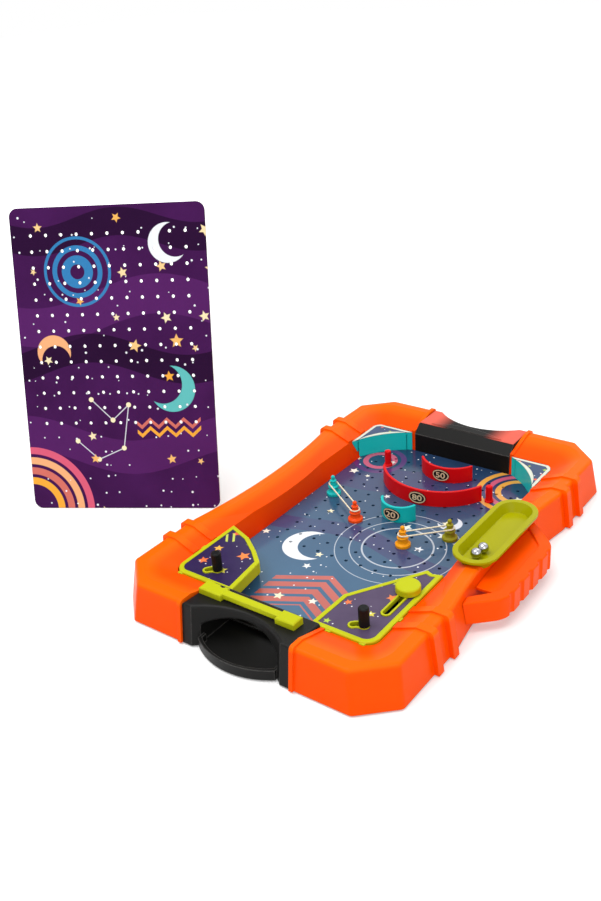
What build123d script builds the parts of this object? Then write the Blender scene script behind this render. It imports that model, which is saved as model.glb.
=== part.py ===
from build123d import *
import os
from math import acos, cos, radians, sin, sqrt

# Tabletop pinball game: a tub-shaped case with a peg board, two lever flippers and a spring launcher.
# Millimetres. Origin on the table under the middle of the case, +X to the handle side, +Y to the far end.

# Shared clearances
over = 5.0
gap = 0.3
snug = 0.05

# Case
rim_side = 33.0
rim_front = 40.5
rim_rear = 44.0
ridge_z = 40.0
foot_proud = 1.5
corner_x = 30.0
corner_y = 28.0
wall_draft = 5.4
case_round = 4.0
case_post_round = 6.0
wall = 2.5
roof = 2.6
waist_inset = 108.5
waist_bow = 9.0
rim_band = 11.0
rib_insets = (73.5, 98.5)
rib_wid = 8.0
rib_proud = 4.5
rib_rise = 1.8
fin_wid = 4.0
fin_proud = 2.0
fin_rise = 1.6
boss_r = 4.0
boss_inset_x = 19.0
boss_inset_y = 46.0
boss_waist_inset = 13.0

# Well for the board
well_flare = 5.0
well_rim_z = 31.0
well_bow = 4.0
well_waist_half = 56.0
well_corner = 12.0
ledge_wid = 6.0
ledge_thick = 2.5
apron_len = 26.45

# Base plate, screws and feet
base_thick = 2.0
base_rib_wid = 2.0
base_rib_pitch = 50.0
screw_shank_r = 1.5
screw_head_r = 3.0
screw_head_h = 1.6
screw_bite = 12.0
foot_r = 8.0
foot_sink = 0.8
foot_inset_x = 26.0
foot_inset_y = 35.5

# Playfield boards
board_wid = 204.0
board_len = 314.5
board_thick = 2.0
board_corner = 6.0
board_under_z = 7.0
hole_pitch = 16.2
hole_columns = 11
hole_rows = 13
hole_rear_inset = 27.75
hole_sides = 6
spare_x = -266.8
spare_y = -77.8
spare_turn = 29.6
spare_lean = 15.6

# Black housings at the two ends
housing_wid = 114.0
housing_bay = 18.0
bay_shoulder = 10.0
top_fall = 4.0
cheek_wid = 16.0
tunnel_spring_z = 21.0
tunnel_crown_z = 29.5
pocket_floor = 2.5
lip_bulge = 13.0
lip_h = 9.5
lip_wall = 2.6
apron_thick = 1.7
rear_ledge_z = 29.5
rear_bevel = 11.0
grip_shoulder = 15.0
grip_bulge = 9.0
grip_rise = 1.2
housing_round = 2.5
arch_round = 2.0

# Crossbar
bar_wid = 7.0
bar_thick = 4.5
bar_lift = 1.0
bar_rear_inset = 8.0
block_h = 6.0
block_deep = 13.0
block_bevel = 1.0
left_block_inset = 2.0
left_block_wid = 24.0
right_block_inset = 11.0
right_block_wid = 19.0
block_peg_r = 2.0
block_peg_len = 4.0
latch_r = 3.2

# Carry handle
handle_mid_y = -14.0
handle_half = 84.0
handle_flat_half = 46.0
handle_reach = 27.0
handle_bar = 11.0
handle_low_z = 9.0
handle_h = 22.0
handle_turn_r = 26.0
handle_inner_turn_r = 14.0
grip_count = 5
grip_groove_r = 5.0
grip_groove_deep = 2.0
grip_edge_round = 1.6
handle_web = 2.4
handle_web_sink = 2.0
handle_web_reach = 42.0

# Control panels
panel_top_z = 33.0
panel_thick = 3.5
panel_edge = 0.8
panel_border = 4.5
panel_corner = 13.0
panel_soft_corner = 4.0
panel_round = 1.2
left_panel_wid = 67.5
left_panel_len = 85.5
right_panel_wid = 60.0
right_panel_len = 113.5
left_panel_shares = ((0.0, 1.0), (0.40, 0.883), (0.69, 0.72), (0.91, 0.567), (1.0, 0.0), (0.0, 0.0))
right_panel_shares = ((0.0, 1.0), (0.15, 0.976), (0.26, 1.0), (0.975, 0.41), (1.0, 0.0), (0.0, 0.0))
print_thick = 1.0
skirt_wall = 2.4
flipper_window_z = 21.5
flipper_window_run = 9.0
bead_wid = 1.7
bead_rise = 0.6
tab_len = 5.0
tab_out = 1.4
tab_thick = 2.2
tab_near = 9.2
tab_far = 42.0
tab_side = 42.5

# Flippers and their levers
pivot_front = 8.2
left_pivot_side = 38.2
right_pivot_side = 20.2
left_reach = 50.0
right_reach = 56.0
left_blade_angle = -8.0
right_blade_angle = 131.0
left_lever_angle = 95.0
right_lever_angle = 85.0
flipper_swing = 53.0
hub_r = 5.5
tip_r = 3.2
blade_low_z = 12.0
blade_h = 8.5
pivot_r = 2.5
pivot_screw_head_h = 1.4
arm_len = 10.5
arm_r = 4.2
arm_low_z = 21.5
arm_thick = 4.0
lever_stem_r = 2.2
lever_grip_r = 4.6
lever_grip_h = 18.0
slot_play = 0.5

# Launcher
launch_side = 13.7
launch_front = 77.7
launch_pull = 35.0
knob_r = 11.0
knob_h = 6.5
knob_round = 2.0
knob_stem_r = 2.4
carriage_wid = 12.0
carriage_len = 14.0
carriage_h = 9.0
striker_wid = 8.0
striker_low_z = 10.2
head_r = 4.0
head_len = 4.0
spigot_r = 1.8
spigot_len = 3.0
lug_front = 26.7
lug_thick = 3.0
lug_wid = 10.0
spring_r = 3.1
spring_wire_r = 0.4
spring_turns = 8
lane_wid = 13.0

# Ball tray and balls
ball_r = 5.0
tray_side = 18.5
tray_mid_y = 9.5
tray_wid = 42.0
tray_len = 117.0
tray_rim_z = 46.5
tray_seat_z = 35.5
tray_floor_wid = 28.0
tray_wall = 2.0
tray_rim = 3.0
tray_rim_h = 2.6
tray_peg_r = 3.0
tray_peg_len = 5.0
tray_peg_half = 38.0
ball_steps = ((0.9, -27.0), (-0.3, -37.8))

# Curved walls, badges and posts on the board
stem_r = 1.6
stem_play = 0.1
stem_drop = 1.2
target_h = 17.0
target_thick = 2.6
big_wall_r = 62.0
big_wall_arc = (214.0, 336.0)
big_wall_pegs = ((-3, 3), (3, 3))
small_wall_r = 33.0
small_wall_arc = (219.0, 332.0)
small_wall_pegs = ((-1, 1), (1, 1))
round_wall_r = 19.5
round_wall_arc = (200.0, 340.0)
round_wall_pegs = ((0, 7),)
badge_half_wid = 9.4
badge_half_h = 6.6
badge_thick = 1.0
badge_span = 45.0
post_pegs = ((-4, 1), (4, 2))
post_r = 3.5
post_base_r = 4.6
post_base_h = 2.0
post_h = 18.0

# Stepped cone pegs: radius and height of each turn of the profile, as shares of the base and height
cone_base_r = 7.5
cone_h = 21.5
cone_profile_shares = (
    (1.00, 0.00), (1.00, 0.12), (0.72, 0.20), (0.62, 0.36), (0.74, 0.40), (0.74, 0.45),
    (0.44, 0.50), (0.38, 0.68), (0.46, 0.71), (0.46, 0.75), (0.22, 0.79), (0.22, 0.84),
)
cone_ball_r = 2.2
band_height_share = 0.58
cone_groove_share = 0.44
band_r = 0.8
cone_pegs = {
    "teal_cone": (-5, 6),
    "red_cone": (-2, 8),
    "amber_cone": (2, 9),
    "olive_cone": (4, 7),
}

# Corner deflectors
corner_reach_x = 46.0
corner_reach_y = 51.0
corner_top_z = 31.0
corner_wall = 2.4
corner_bow = 6.3
corner_border = 3.2
corner_print_thick = 0.8
corner_tip_share = 2.4
corner_blunt_share = 1.5

# Derived places
well_wid = board_wid + well_flare * 2
case_wid = well_wid + rim_side * 2
case_len = rim_front + apron_len + board_len + gap + wall / 2 + rim_rear
half_wid = case_wid / 2
half_len = case_len / 2
well_front = half_len - rim_front
well_rear = half_len - rim_rear
waist_half = half_len - waist_inset
bottom_z = foot_proud
base_top_z = bottom_z + base_thick
board_top_z = board_under_z + board_thick
board_rear_y = well_rear - wall / 2 - gap
board_front_y = board_rear_y - board_len
panel_under_z = panel_top_z - panel_thick
print_floor_z = panel_top_z - print_thick - gap
panel_outer_x = well_wid / 2 - panel_edge
panel_front_y = -well_front + gap
pin_low_z = blade_low_z - gap
knob_low_z = panel_top_z + bead_rise + gap
ledge_low_z = board_under_z - ledge_thick
front_strip = apron_len + ledge_wid
housing_half = housing_wid / 2
bay_half = housing_half - bay_shoulder
tunnel_half = housing_half - cheek_wid
grip_half = housing_half - grip_shoulder
left_block = (left_block_inset - housing_half, left_block_inset + left_block_wid - housing_half)
right_block = (housing_half - right_block_inset - right_block_wid, housing_half - right_block_inset)
left_pivot = (left_pivot_side - panel_outer_x, panel_front_y + pivot_front)
right_pivot = (panel_outer_x - right_pivot_side, panel_front_y + pivot_front)
launch_x = panel_outer_x - launch_side
launch_y = panel_front_y + launch_front
lug_y = panel_front_y + lug_front
tray_mid_x = half_wid - tray_side


# Shapes that several pieces use
def face_of(edges):
    return Face(Wire(edges))


def prism(face, low, high):
    return extrude(Pos(0, 0, low) * face, amount=high - low, dir=(0, 0, 1))


def block(x_low, x_high, y_low, y_high, z_low, z_high):
    solid = Box(x_high - x_low, y_high - y_low, z_high - z_low)
    return Pos((x_low + x_high) / 2, (y_low + y_high) / 2, (z_low + z_high) / 2) * solid


def rod(x, y, r, low, high):
    return Pos(x, y, (low + high) / 2) * Cylinder(r, high - low)


def polar(centre, r, angle):
    return (centre[0] + r * cos(radians(angle)), centre[1] + r * sin(radians(angle)))


# A closed ring in plan: straight pods, a bowed waist on both sides and cut or rounded corners
def ring_edges(z, half_x, front, rear, cut_x, cut_y, bow, waist, rounded):
    def side(sign):
        x = sign * half_x
        ends = [(x, -front + cut_y, z), (x, -waist, z), (x, waist, z), (x, rear - cut_y, z)]
        middle = Line(ends[1], ends[2])
        if bow:
            middle = ThreePointArc(ends[1], (x - sign * bow, 0, z), ends[2])
        return [Line(ends[0], ends[1]), middle, Line(ends[2], ends[3])]

    def corner(sign, end, end_sign):
        start = (sign * half_x, end - end_sign * cut_y, z)
        stop = (sign * (half_x - cut_x), end, z)
        if not rounded:
            return Line(start, stop)
        bend = (start[0] - sign * cut_x * (1 - sqrt(0.5)), end - end_sign * cut_y * (1 - sqrt(0.5)), z)
        return ThreePointArc(start, bend, stop)

    half_end = half_x - cut_x
    ends = [Line((-half_end, y, z), (half_end, y, z)) for y in (-front, rear)]
    corners = [corner(s, y, e) for s in (1, -1) for y, e in ((-front, -1), (rear, 1))]
    return side(1) + side(-1) + corners + ends


def case_wire(z, grow):
    half_x, half_y = half_wid + grow, half_len + grow
    return Wire(ring_edges(z, half_x, half_y, half_y, corner_x, corner_y, waist_bow, waist_half, False))


# Outside of the case: drafted walls with round corner posts and a round top edge
def case_body(grow, rise):
    body = Solid.make_loft([case_wire(bottom_z, wall_draft + grow), case_wire(ridge_z + rise, grow)], True)
    posts = body.edges().filter_by(lambda edge: edge.bounding_box().size.Z > ridge_z / 2)
    body = fillet(posts, case_post_round)
    return fillet(body.edges().group_by(Axis.Z)[-1], case_round)


def well_wire(z, grow):
    half_x, front, rear = well_wid / 2 + grow, well_front + grow, well_rear + grow
    return Wire(ring_edges(z, half_x, front, rear, well_corner, well_corner, well_bow, well_waist_half, True))


def floor_wire(z, grow):
    half_x, front, rear = board_wid / 2 + gap + grow, well_front + grow, well_rear - wall / 2 + grow
    return Wire(ring_edges(z, half_x, front, rear, board_corner, board_corner, 0, well_waist_half, True))


# Space of the well from under the board up to the rim
def well_space(grow):
    return Solid.make_loft([floor_wire(board_under_z, grow), well_wire(well_rim_z, grow)], True)


# Dished top of the rim, from the ridge band down to the well
def rim_dish(rise):
    half_x, half_y = half_wid - rim_band, half_len - rim_band
    top_z = ridge_z + rise
    band = Wire(ring_edges(top_z, half_x, half_y, half_y, corner_x, corner_y, waist_bow, waist_half, True))
    slope = Solid.make_loft([well_wire(well_rim_z + rise, 0), band], True)
    return slope + extrude(Face(band), amount=over, dir=(0, 0, 1))


def capsule(wid, length):
    return Pos(tray_mid_x, tray_mid_y) * Rot(0, 0, 90) * SlotOverall(length, wid)


def boss_places():
    far_x = half_wid - boss_inset_x
    far_y = half_len - boss_inset_y
    waist_x = half_wid - waist_bow - boss_waist_inset
    return [(s * far_x, t * far_y) for s in (1, -1) for t in (1, -1)] + [(s * waist_x, 0) for s in (1, -1)]


# Clip tabs of a panel: two on its front edge and one on its outer side
def panel_tabs(sign, grow):
    half = tab_len / 2 + grow
    low = panel_under_z + gap - grow
    high = low + tab_thick + (over if grow else 0)
    tabs = []
    for inset in (tab_near, tab_far):
        x = sign * (panel_outer_x - inset)
        front_y = panel_front_y - tab_out - grow
        tabs.append(block(x - half, x + half, front_y, panel_front_y + wall, low, high))
    inner, outer = sorted((sign * (panel_outer_x - wall), sign * (panel_outer_x + tab_out + grow)))
    y = panel_front_y + tab_side
    return tabs[0] + tabs[1] + block(inner, outer, y - half, y + half, low, high)


def make_case_shell():
    shell = case_body(0, 0) - rim_dish(0)
    ribs = case_body(rib_proud, rib_rise) - rim_dish(rib_rise)
    slabs = [
        block(-case_wid, case_wid, s * y - rib_wid / 2, s * y + rib_wid / 2, 0, ridge_z + over)
        for y in [half_len - inset for inset in rib_insets] for s in (1, -1)
    ]
    fins = case_body(fin_proud, fin_rise) - rim_dish(fin_rise)
    fin_low = housing_half + gap
    bars = [
        block(*sorted((s * fin_low, s * (fin_low + fin_wid))), -case_len, case_len, 0, ridge_z + over)
        for s in (1, -1)
    ]
    for slab in slabs:
        shell += ribs & slab
    for bar in bars:
        shell += fins & bar
    # Hollow underside of the rim: walls of one thickness, with end walls beside the two housings
    hollow = Solid.make_loft(
        [case_wire(bottom_z, wall_draft - wall), case_wire(ridge_z - roof, -wall)], True
    )
    hollow -= Pos(0, 0, -roof) * rim_dish(0)
    hollow -= prism(Face(well_wire(0, wall)), 0, ridge_z)
    end_wall = fin_low + fin_wid
    hollow -= block(-end_wall, end_wall, -case_len, case_len, 0, ridge_z)
    seat = prism(capsule(tray_floor_wid + roof * 2, tray_len), tray_seat_z - roof, ridge_z)
    hollow -= seat
    for x, y in boss_places():
        hollow -= rod(x, y, boss_r, base_top_z + gap, ridge_z)
    shell -= hollow
    # Well, board ledge and the open floor inside the ledge
    shell -= well_space(0)
    shell -= prism(Face(well_wire(0, 0)), well_rim_z, ridge_z + over)
    inner_half = board_wid / 2 + gap - ledge_wid
    floor_open = block(
        -inner_half, inner_half, -well_front + front_strip, well_rear - wall / 2 - ledge_wid, 0, board_under_z
    )
    shell -= floor_open
    shell -= prism(Face(floor_wire(0, 0)), 0, ledge_low_z)
    shell -= prism(Face(case_wire(0, wall_draft - wall)), 0, base_top_z + snug)
    notch = housing_half + gap
    shell -= block(-notch, notch, -case_len, -well_front, 0, ridge_z + over)
    shell -= block(-notch, notch, well_rear - wall / 2, case_len, 0, ridge_z + over)
    # Saddle for the ball tray, clip notches for the panels, pilot holes in the bosses
    shell -= tray_hull(-gap, tray_seat_z, tray_rim_z)
    for sign in (1, -1):
        shell -= rod(tray_mid_x, tray_mid_y + sign * tray_peg_half, tray_peg_r + snug, 0, ridge_z)
        shell -= panel_tabs(sign, gap)
    for x, y in boss_places():
        shell -= rod(x, y, screw_shank_r, 0, base_top_z + screw_bite + gap)
    return shell


# The shell split beside the inner ribs into two ends and two rails, so that collision can follow it closely
def case_sections():
    shell = make_case_shell()
    seam = half_len - rib_insets[1] - rib_wid / 2
    top = ridge_z + over
    spans = {
        "front_case": (-case_wid, case_wid, -case_len, -seam - snug),
        "rear_case": (-case_wid, case_wid, seam + snug, case_len),
        "left_rail": (-case_wid, 0, -seam, seam),
        "right_rail": (0, case_wid, -seam, seam),
    }
    return {name: shell & block(*span, 0, top) for name, span in spans.items()}


def make_base_plate():
    plate = prism(Face(case_wire(0, wall_draft - wall - gap * 2)), bottom_z, base_top_z)
    notch = housing_half + gap
    plate -= block(-notch, notch, -case_len, -well_front, 0, base_top_z + over)
    plate -= block(-notch, notch, well_rear - wall / 2, case_len, 0, base_top_z + over)
    rib_y = (-well_front + front_strip + wall, well_rear - ledge_wid - wall * 2)
    for k in (-1.5, -0.5, 0.5, 1.5):
        x = k * base_rib_pitch
        plate += block(x - base_rib_wid / 2, x + base_rib_wid / 2, *rib_y, base_top_z, board_under_z - snug)
    for x, y in boss_places():
        plate -= rod(x, y, screw_shank_r + gap, 0, base_top_z + over)
        plate -= rod(x, y, screw_head_r + gap, 0, bottom_z + screw_head_h)
    for x, y in foot_places():
        plate -= rod(x, y, foot_r + gap / 2, 0, bottom_z + foot_sink)
    return plate


def foot_places():
    corners = [
        (s * (half_wid - foot_inset_x), t * (half_len - foot_inset_y)) for s in (1, -1) for t in (1, -1)
    ]
    return corners + [(0, 0)]


def make_case_screws():
    screws = []
    for x, y in boss_places():
        head_z = bottom_z + screw_head_h
        head = rod(x, y, screw_head_r, bottom_z, head_z)
        screws.append(head + rod(x, y, screw_shank_r - snug, head_z, base_top_z + screw_bite))
    return Compound(children=screws)


def make_feet():
    feet = [rod(x, y, foot_r, 0, bottom_z + foot_sink) for x, y in foot_places()]
    return Compound(children=feet)


def board_face():
    return RectangleRounded(board_wid, board_len, board_corner)


# Place of one peg hole, by its column from the middle and its row from the far end
def peg(column, row):
    return (column * hole_pitch, board_rear_y - hole_rear_inset - row * hole_pitch)


# A board with its grid of peg holes, about its own middle
def board_plate():
    mid_y = board_rear_y - board_len / 2
    half_columns = hole_columns // 2
    hole = RegularPolygon(stem_r + stem_play, hole_sides, major_radius=False)
    holes = []
    for row in range(hole_rows):
        for column in range(-half_columns, half_columns + 1):
            x, y = peg(column, row)
            holes.append(Pos(x, y - mid_y) * hole)
    return extrude(board_face() - holes, amount=board_thick)


def make_playfield_board():
    board = Pos(0, board_front_y + board_len / 2, board_under_z) * board_plate()
    for sign in (1, -1):
        board -= rod(*corner_stem(sign), stem_r + stem_play, 0, board_top_z + over)
    return board


def make_spare_board():
    stand = Pos(spare_x, spare_y, 0) * Rot(0, 0, spare_turn) * Rot(90 - spare_lean, 0, 0)
    return stand * Pos(0, board_len / 2, 0) * board_plate()


# Plan of an end housing: flat shoulders and a bay drawn in on an arc
def housing_face(inner, outer, end_sign, bay):
    y_in, y_out = end_sign * inner, end_sign * outer
    edges = [
        Line((-housing_half, y_in), (housing_half, y_in)),
        Line((housing_half, y_in), (housing_half, y_out)),
        Line((housing_half, y_out), (bay_half, y_out)),
        ThreePointArc((bay_half, y_out), (0, y_out - end_sign * bay), (-bay_half, y_out)),
        Line((-bay_half, y_out), (-housing_half, y_out)),
        Line((-housing_half, y_out), (-housing_half, y_in)),
    ]
    return face_of(edges)


def housing_body(inner, end_sign):
    low = housing_face(inner, half_len + wall_draft, end_sign, housing_bay)
    high = housing_face(inner, half_len, end_sign, housing_bay)
    wires = [(Pos(0, 0, bottom_z) * low).outer_wire(), (Pos(0, 0, ridge_z) * high).outer_wire()]
    return Solid.make_loft(wires, True)


# Rounds the outer part of a housing's top, behind the strip along the well
def round_top(body, inner):
    keep = inner + rear_bevel + gap
    low = ridge_z - top_fall - gap
    edges = body.edges().filter_by(lambda edge: edge.center().Z > low and abs(edge.center().Y) > keep)
    return fillet(edges, housing_round)


def side_profile(points):
    return extrude(Plane.YZ * make_face(Polyline(*points, close=True)), amount=housing_wid, both=True)


def arch_face(half, low, spring, crown):
    edges = [
        Line((-half, low), (half, low)),
        Line((half, low), (half, spring)),
        ThreePointArc((half, spring), (0, crown), (-half, spring)),
        Line((-half, spring), (-half, low)),
    ]
    return Plane.XZ * face_of(edges)


def lip_face(back_y, half, bulge, front_y):
    edges = [
        Line((-half, back_y), (half, back_y)),
        Line((half, back_y), (half, front_y)),
        ThreePointArc((half, front_y), (0, front_y - bulge), (-half, front_y)),
        Line((-half, front_y), (-half, back_y)),
    ]
    return face_of(edges)


def make_front_housing():
    inner = well_front + gap
    body = housing_body(inner, -1)
    fall = [
        (-half_len - wall_draft, ridge_z), (-inner, ridge_z - top_fall),
        (-inner + over, ridge_z + over), (-half_len - wall_draft, ridge_z + over),
    ]
    body -= side_profile(fall)
    floor_z = bottom_z + pocket_floor
    tunnel = arch_face(tunnel_half, floor_z, tunnel_spring_z, tunnel_crown_z)
    body = round_top(body, inner)
    body -= extrude(tunnel, amount=case_len, dir=(0, -1, 0))
    mouth = body.edges().filter_by(
        lambda edge: abs(edge.center().X) < tunnel_half + gap and edge.center().Y < -inner - rear_bevel / 2
        and tunnel_spring_z - gap < edge.center().Z < tunnel_crown_z + gap
    )
    body = fillet(mouth, arch_round)
    # Hollow cheeks, open below
    cheek_in = tunnel_half + wall
    for sign in (1, -1):
        x_low, x_high = sorted((sign * cheek_in, sign * (housing_half - wall)))
        body -= block(x_low, x_high, -half_len + wall, -inner - wall, 0, ridge_z - top_fall - roof * 2)
    # Pocket floor and the low lip that bulges out in front
    lip_front = half_len + wall_draft - wall
    back = -inner - housing_bay
    lip = prism(lip_face(back, tunnel_half, lip_bulge, -lip_front), bottom_z, bottom_z + lip_h)
    scoop = lip_face(back - over, tunnel_half - lip_wall, lip_bulge, -lip_front + lip_wall)
    lip -= prism(scoop, floor_z, bottom_z + lip_h + over)
    lip -= block(-tunnel_half, tunnel_half, -half_len + over, 0, floor_z, ridge_z)
    body += lip
    # Apron that carries the ball from the front edge of the board into the tunnel
    apron_x = board_wid / 2
    apron_z = (board_under_z, board_under_z + apron_thick)
    apron = block(-apron_x, apron_x, -well_front + gap, board_front_y - gap, *apron_z)
    neck_x = housing_half - gap
    neck = block(-neck_x, neck_x, -inner - over, -well_front + over, *apron_z)
    body += (apron & prism(Face(floor_wire(0, -gap)), 0, ridge_z)) + neck
    socket_z = ridge_z - top_fall - block_peg_len - gap
    for x in crossbar_pegs():
        body -= rod(x, crossbar_y(), block_peg_r + snug, socket_z, ridge_z + over)
    return body


def make_rear_housing():
    inner = well_rear - wall / 2 + gap
    body = housing_body(inner, 1)
    bevel = [
        (inner - over, rear_ledge_z), (inner + gap, rear_ledge_z), (inner + rear_bevel, ridge_z),
        (inner + rear_bevel, ridge_z + over), (inner - over, ridge_z + over),
    ]
    body -= side_profile(bevel)
    body = round_top(body, inner)
    room = housing_half - wall
    body -= block(-room, room, inner + wall, half_len - housing_bay - wall, 0, rear_ledge_z - wall)
    chord = inner + rear_bevel
    grip = [Line((-grip_half, chord), (grip_half, chord))]
    grip.append(ThreePointArc((grip_half, chord), (0, chord + grip_bulge), (-grip_half, chord)))
    return body + prism(face_of(grip), ridge_z - wall, ridge_z + grip_rise)


def crossbar_y():
    return -well_front - bar_rear_inset - block_deep / 2


def crossbar_pegs():
    return [sum(left_block) / 2, sum(right_block) / 2]


def make_crossbar():
    y = crossbar_y()
    seat_z = ridge_z - top_fall / 2
    bar = block(
        left_block[1] - over, right_block[0] + over, y - bar_wid / 2, y + bar_wid / 2,
        seat_z + bar_lift, seat_z + bar_lift + bar_thick,
    )
    for low, high in (left_block, right_block):
        part = block(low, high, y - block_deep / 2, y + block_deep / 2, seat_z - top_fall, seat_z + block_h)
        part = chamfer(part.edges().group_by(Axis.Z)[-1], block_bevel)
        bar += part
    latch_x = left_block[1] - latch_r * 2
    bar -= rod(latch_x, y + block_deep / 2, latch_r, seat_z + bar_lift, seat_z + block_h + over)
    body = housing_top_solid()
    bar -= body
    for x in crossbar_pegs():
        bar += rod(x, y, block_peg_r, ridge_z - top_fall - block_peg_len, seat_z + bar_lift)
    return bar


# Everything under the sloped top of the front housing
def housing_top_solid():
    low = -half_len - wall_draft
    inner = -well_front - gap
    edge_z = ridge_z - top_fall
    under = [(low, 0), (inner + over, 0), (inner + over, edge_z), (inner, edge_z), (low, ridge_z)]
    return side_profile(under)


def make_handle():
    wall_x = half_wid - waist_bow - over
    far_x = half_wid + handle_reach
    y = handle_mid_y

    def bow_face(reach, half, flat_half, turn_r):
        outline = Polyline(
            (wall_x, y - half), (reach, y - flat_half), (reach, y + flat_half), (wall_x, y + half), close=True
        )
        face = make_face(outline)
        return fillet(face.vertices().group_by(Axis.X)[-1], turn_r)

    outer = bow_face(far_x, handle_half, handle_flat_half, handle_turn_r)
    inner = bow_face(
        far_x - handle_bar, handle_half - handle_bar, handle_flat_half - handle_bar / 2, handle_inner_turn_r
    )
    bow = prism(outer, handle_low_z, handle_low_z + handle_h)
    for k in range(grip_count):
        groove_y = y + (k - (grip_count - 1) / 2) * handle_flat_half * 2 / grip_count
        centre_x = far_x + grip_groove_r - grip_groove_deep
        bow -= rod(centre_x, groove_y, grip_groove_r, 0, ridge_z)
    bow = fillet(bow.edges().filter_by(Plane.XY), grip_edge_round)
    bow -= prism(inner, 0, ridge_z)
    # Thin web that closes the loop from above, with a window left at the front end
    web_top = handle_low_z + handle_h - handle_web_sink
    web = prism(inner, web_top - handle_web, web_top)
    bow += web & block(0, case_wid, y - handle_web_reach, case_len, 0, ridge_z)
    return bow - case_body(snug * 2, over)


# Panels are drawn from the outer front corner; sign is -1 on the left and 1 on the right
def panel_face(sign, grow):
    wid, length, shares = (
        (left_panel_wid, left_panel_len, left_panel_shares) if sign < 0
        else (right_panel_wid, right_panel_len, right_panel_shares)
    )
    points = [(sign * (panel_outer_x - x * wid), panel_front_y + y * length) for x, y in shares]
    face = make_face(Polyline(*points, close=True))
    outer_front = face.vertices().sort_by_distance((points[-1][0], points[-1][1], 0))[0]
    face = fillet(outer_front, panel_corner)
    bend = face.vertices().sort_by_distance((points[-3][0], points[-3][1], 0))[0]
    face = fillet(bend, panel_soft_corner)
    return offset(face, amount=grow) if grow else face


def lever_slot(sign, grow):
    pivot, start = (left_pivot, left_lever_angle) if sign < 0 else (right_pivot, right_lever_angle)
    r = lever_stem_r + slot_play + grow
    stop = start + flipper_swing
    mid = start + flipper_swing / 2
    inner, outer = arm_len - r, arm_len + r
    edges = [
        ThreePointArc(polar(pivot, outer, start), polar(pivot, outer, mid), polar(pivot, outer, stop)),
        ThreePointArc(polar(pivot, inner, start), polar(pivot, inner, mid), polar(pivot, inner, stop)),
    ]
    for angle, turn in ((start, -90), (stop, 90)):
        tip = polar(polar(pivot, arm_len, angle), r, angle + turn)
        edges.append(ThreePointArc(polar(pivot, outer, angle), tip, polar(pivot, inner, angle)))
    return face_of(edges)


def launch_slot(grow):
    wid = (knob_stem_r + slot_play + grow) * 2
    return Pos(launch_x, launch_y - launch_pull / 2) * Rot(0, 0, 90) * SlotOverall(launch_pull + wid, wid)


def panel_slots(sign, grow):
    slots = [lever_slot(sign, grow)]
    if sign > 0:
        slots.append(launch_slot(grow))
    return slots


def make_panel(sign):
    face = panel_face(sign, 0)
    frame = prism(face, panel_under_z, panel_top_z)
    frame = fillet(frame.edges().group_by(Axis.Z)[-1], panel_round)
    frame -= prism(panel_face(sign, -panel_border), print_floor_z, panel_top_z + over)
    for slot in panel_slots(sign, bead_wid):
        frame += prism(slot, panel_under_z, panel_top_z + bead_rise)
    frame += make_skirt(sign)
    frame += panel_tabs(sign, 0)
    pivot = left_pivot if sign < 0 else right_pivot
    frame += rod(*pivot, pivot_r, pin_low_z, panel_under_z)
    if sign > 0:
        half = lug_wid / 2
        lug = block(launch_x - half, launch_x + half, lug_y - lug_thick, lug_y, striker_low_z, panel_under_z)
        spigot = Rot(90, 0, 0) * Cylinder(spigot_r, spigot_len)
        frame += lug + Pos(launch_x, lug_y + spigot_len / 2, spring_z()) * spigot
    for slot in panel_slots(sign, 0):
        frame -= prism(slot, panel_under_z - bead_rise, panel_top_z + over)
    frame -= rod(*pivot, screw_shank_r, 0, panel_under_z)
    return frame


# Skirt on the playfield side: full walls beside the bends, a raised edge over the flipper
def make_skirt(sign):
    low = board_top_z + gap
    ring = prism(panel_face(sign, 0), low, panel_under_z) - prism(panel_face(sign, -skirt_wall), 0, ridge_z)
    wall_x = panel_outer_x - wall * 2
    inner, outer = sorted((sign * wall_x, sign * case_wid))
    ring -= block(inner, outer, -case_len, case_len, 0, ridge_z)
    ring -= block(-case_wid, case_wid, -case_len, panel_front_y + wall, 0, ridge_z)
    shares = left_panel_shares if sign < 0 else right_panel_shares
    length = left_panel_len if sign < 0 else right_panel_len
    bend_y = panel_front_y + shares[-3][1] * length
    ring -= block(-case_wid, case_wid, -case_len, bend_y + flipper_window_run, 0, flipper_window_z)
    if sign > 0:
        exit_low = launch_x - lane_wid / 2
        ring -= block(exit_low, case_wid, launch_y, case_len, 0, flipper_window_z)
    return ring


def make_print(sign):
    sheet = prism(panel_face(sign, -panel_border - gap), print_floor_z, print_floor_z + print_thick)
    for slot in panel_slots(sign, bead_wid + gap):
        sheet -= prism(slot, 0, ridge_z)
    return sheet


# Outline of two rounds joined by their tangents, from the origin along +X
def link_face(r1, r2, reach):
    lean = acos((r1 - r2) / reach)
    c, s = cos(lean), sin(lean)
    near = [(r1 * c, r1 * s), (r1 * c, -r1 * s)]
    far = [(reach + r2 * c, r2 * s), (reach + r2 * c, -r2 * s)]
    edges = [
        ThreePointArc(near[0], (-r1, 0), near[1]),
        Line(near[1], far[1]),
        ThreePointArc(far[1], (reach + r2, 0), far[0]),
        Line(far[0], near[0]),
    ]
    return face_of(edges)


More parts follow.
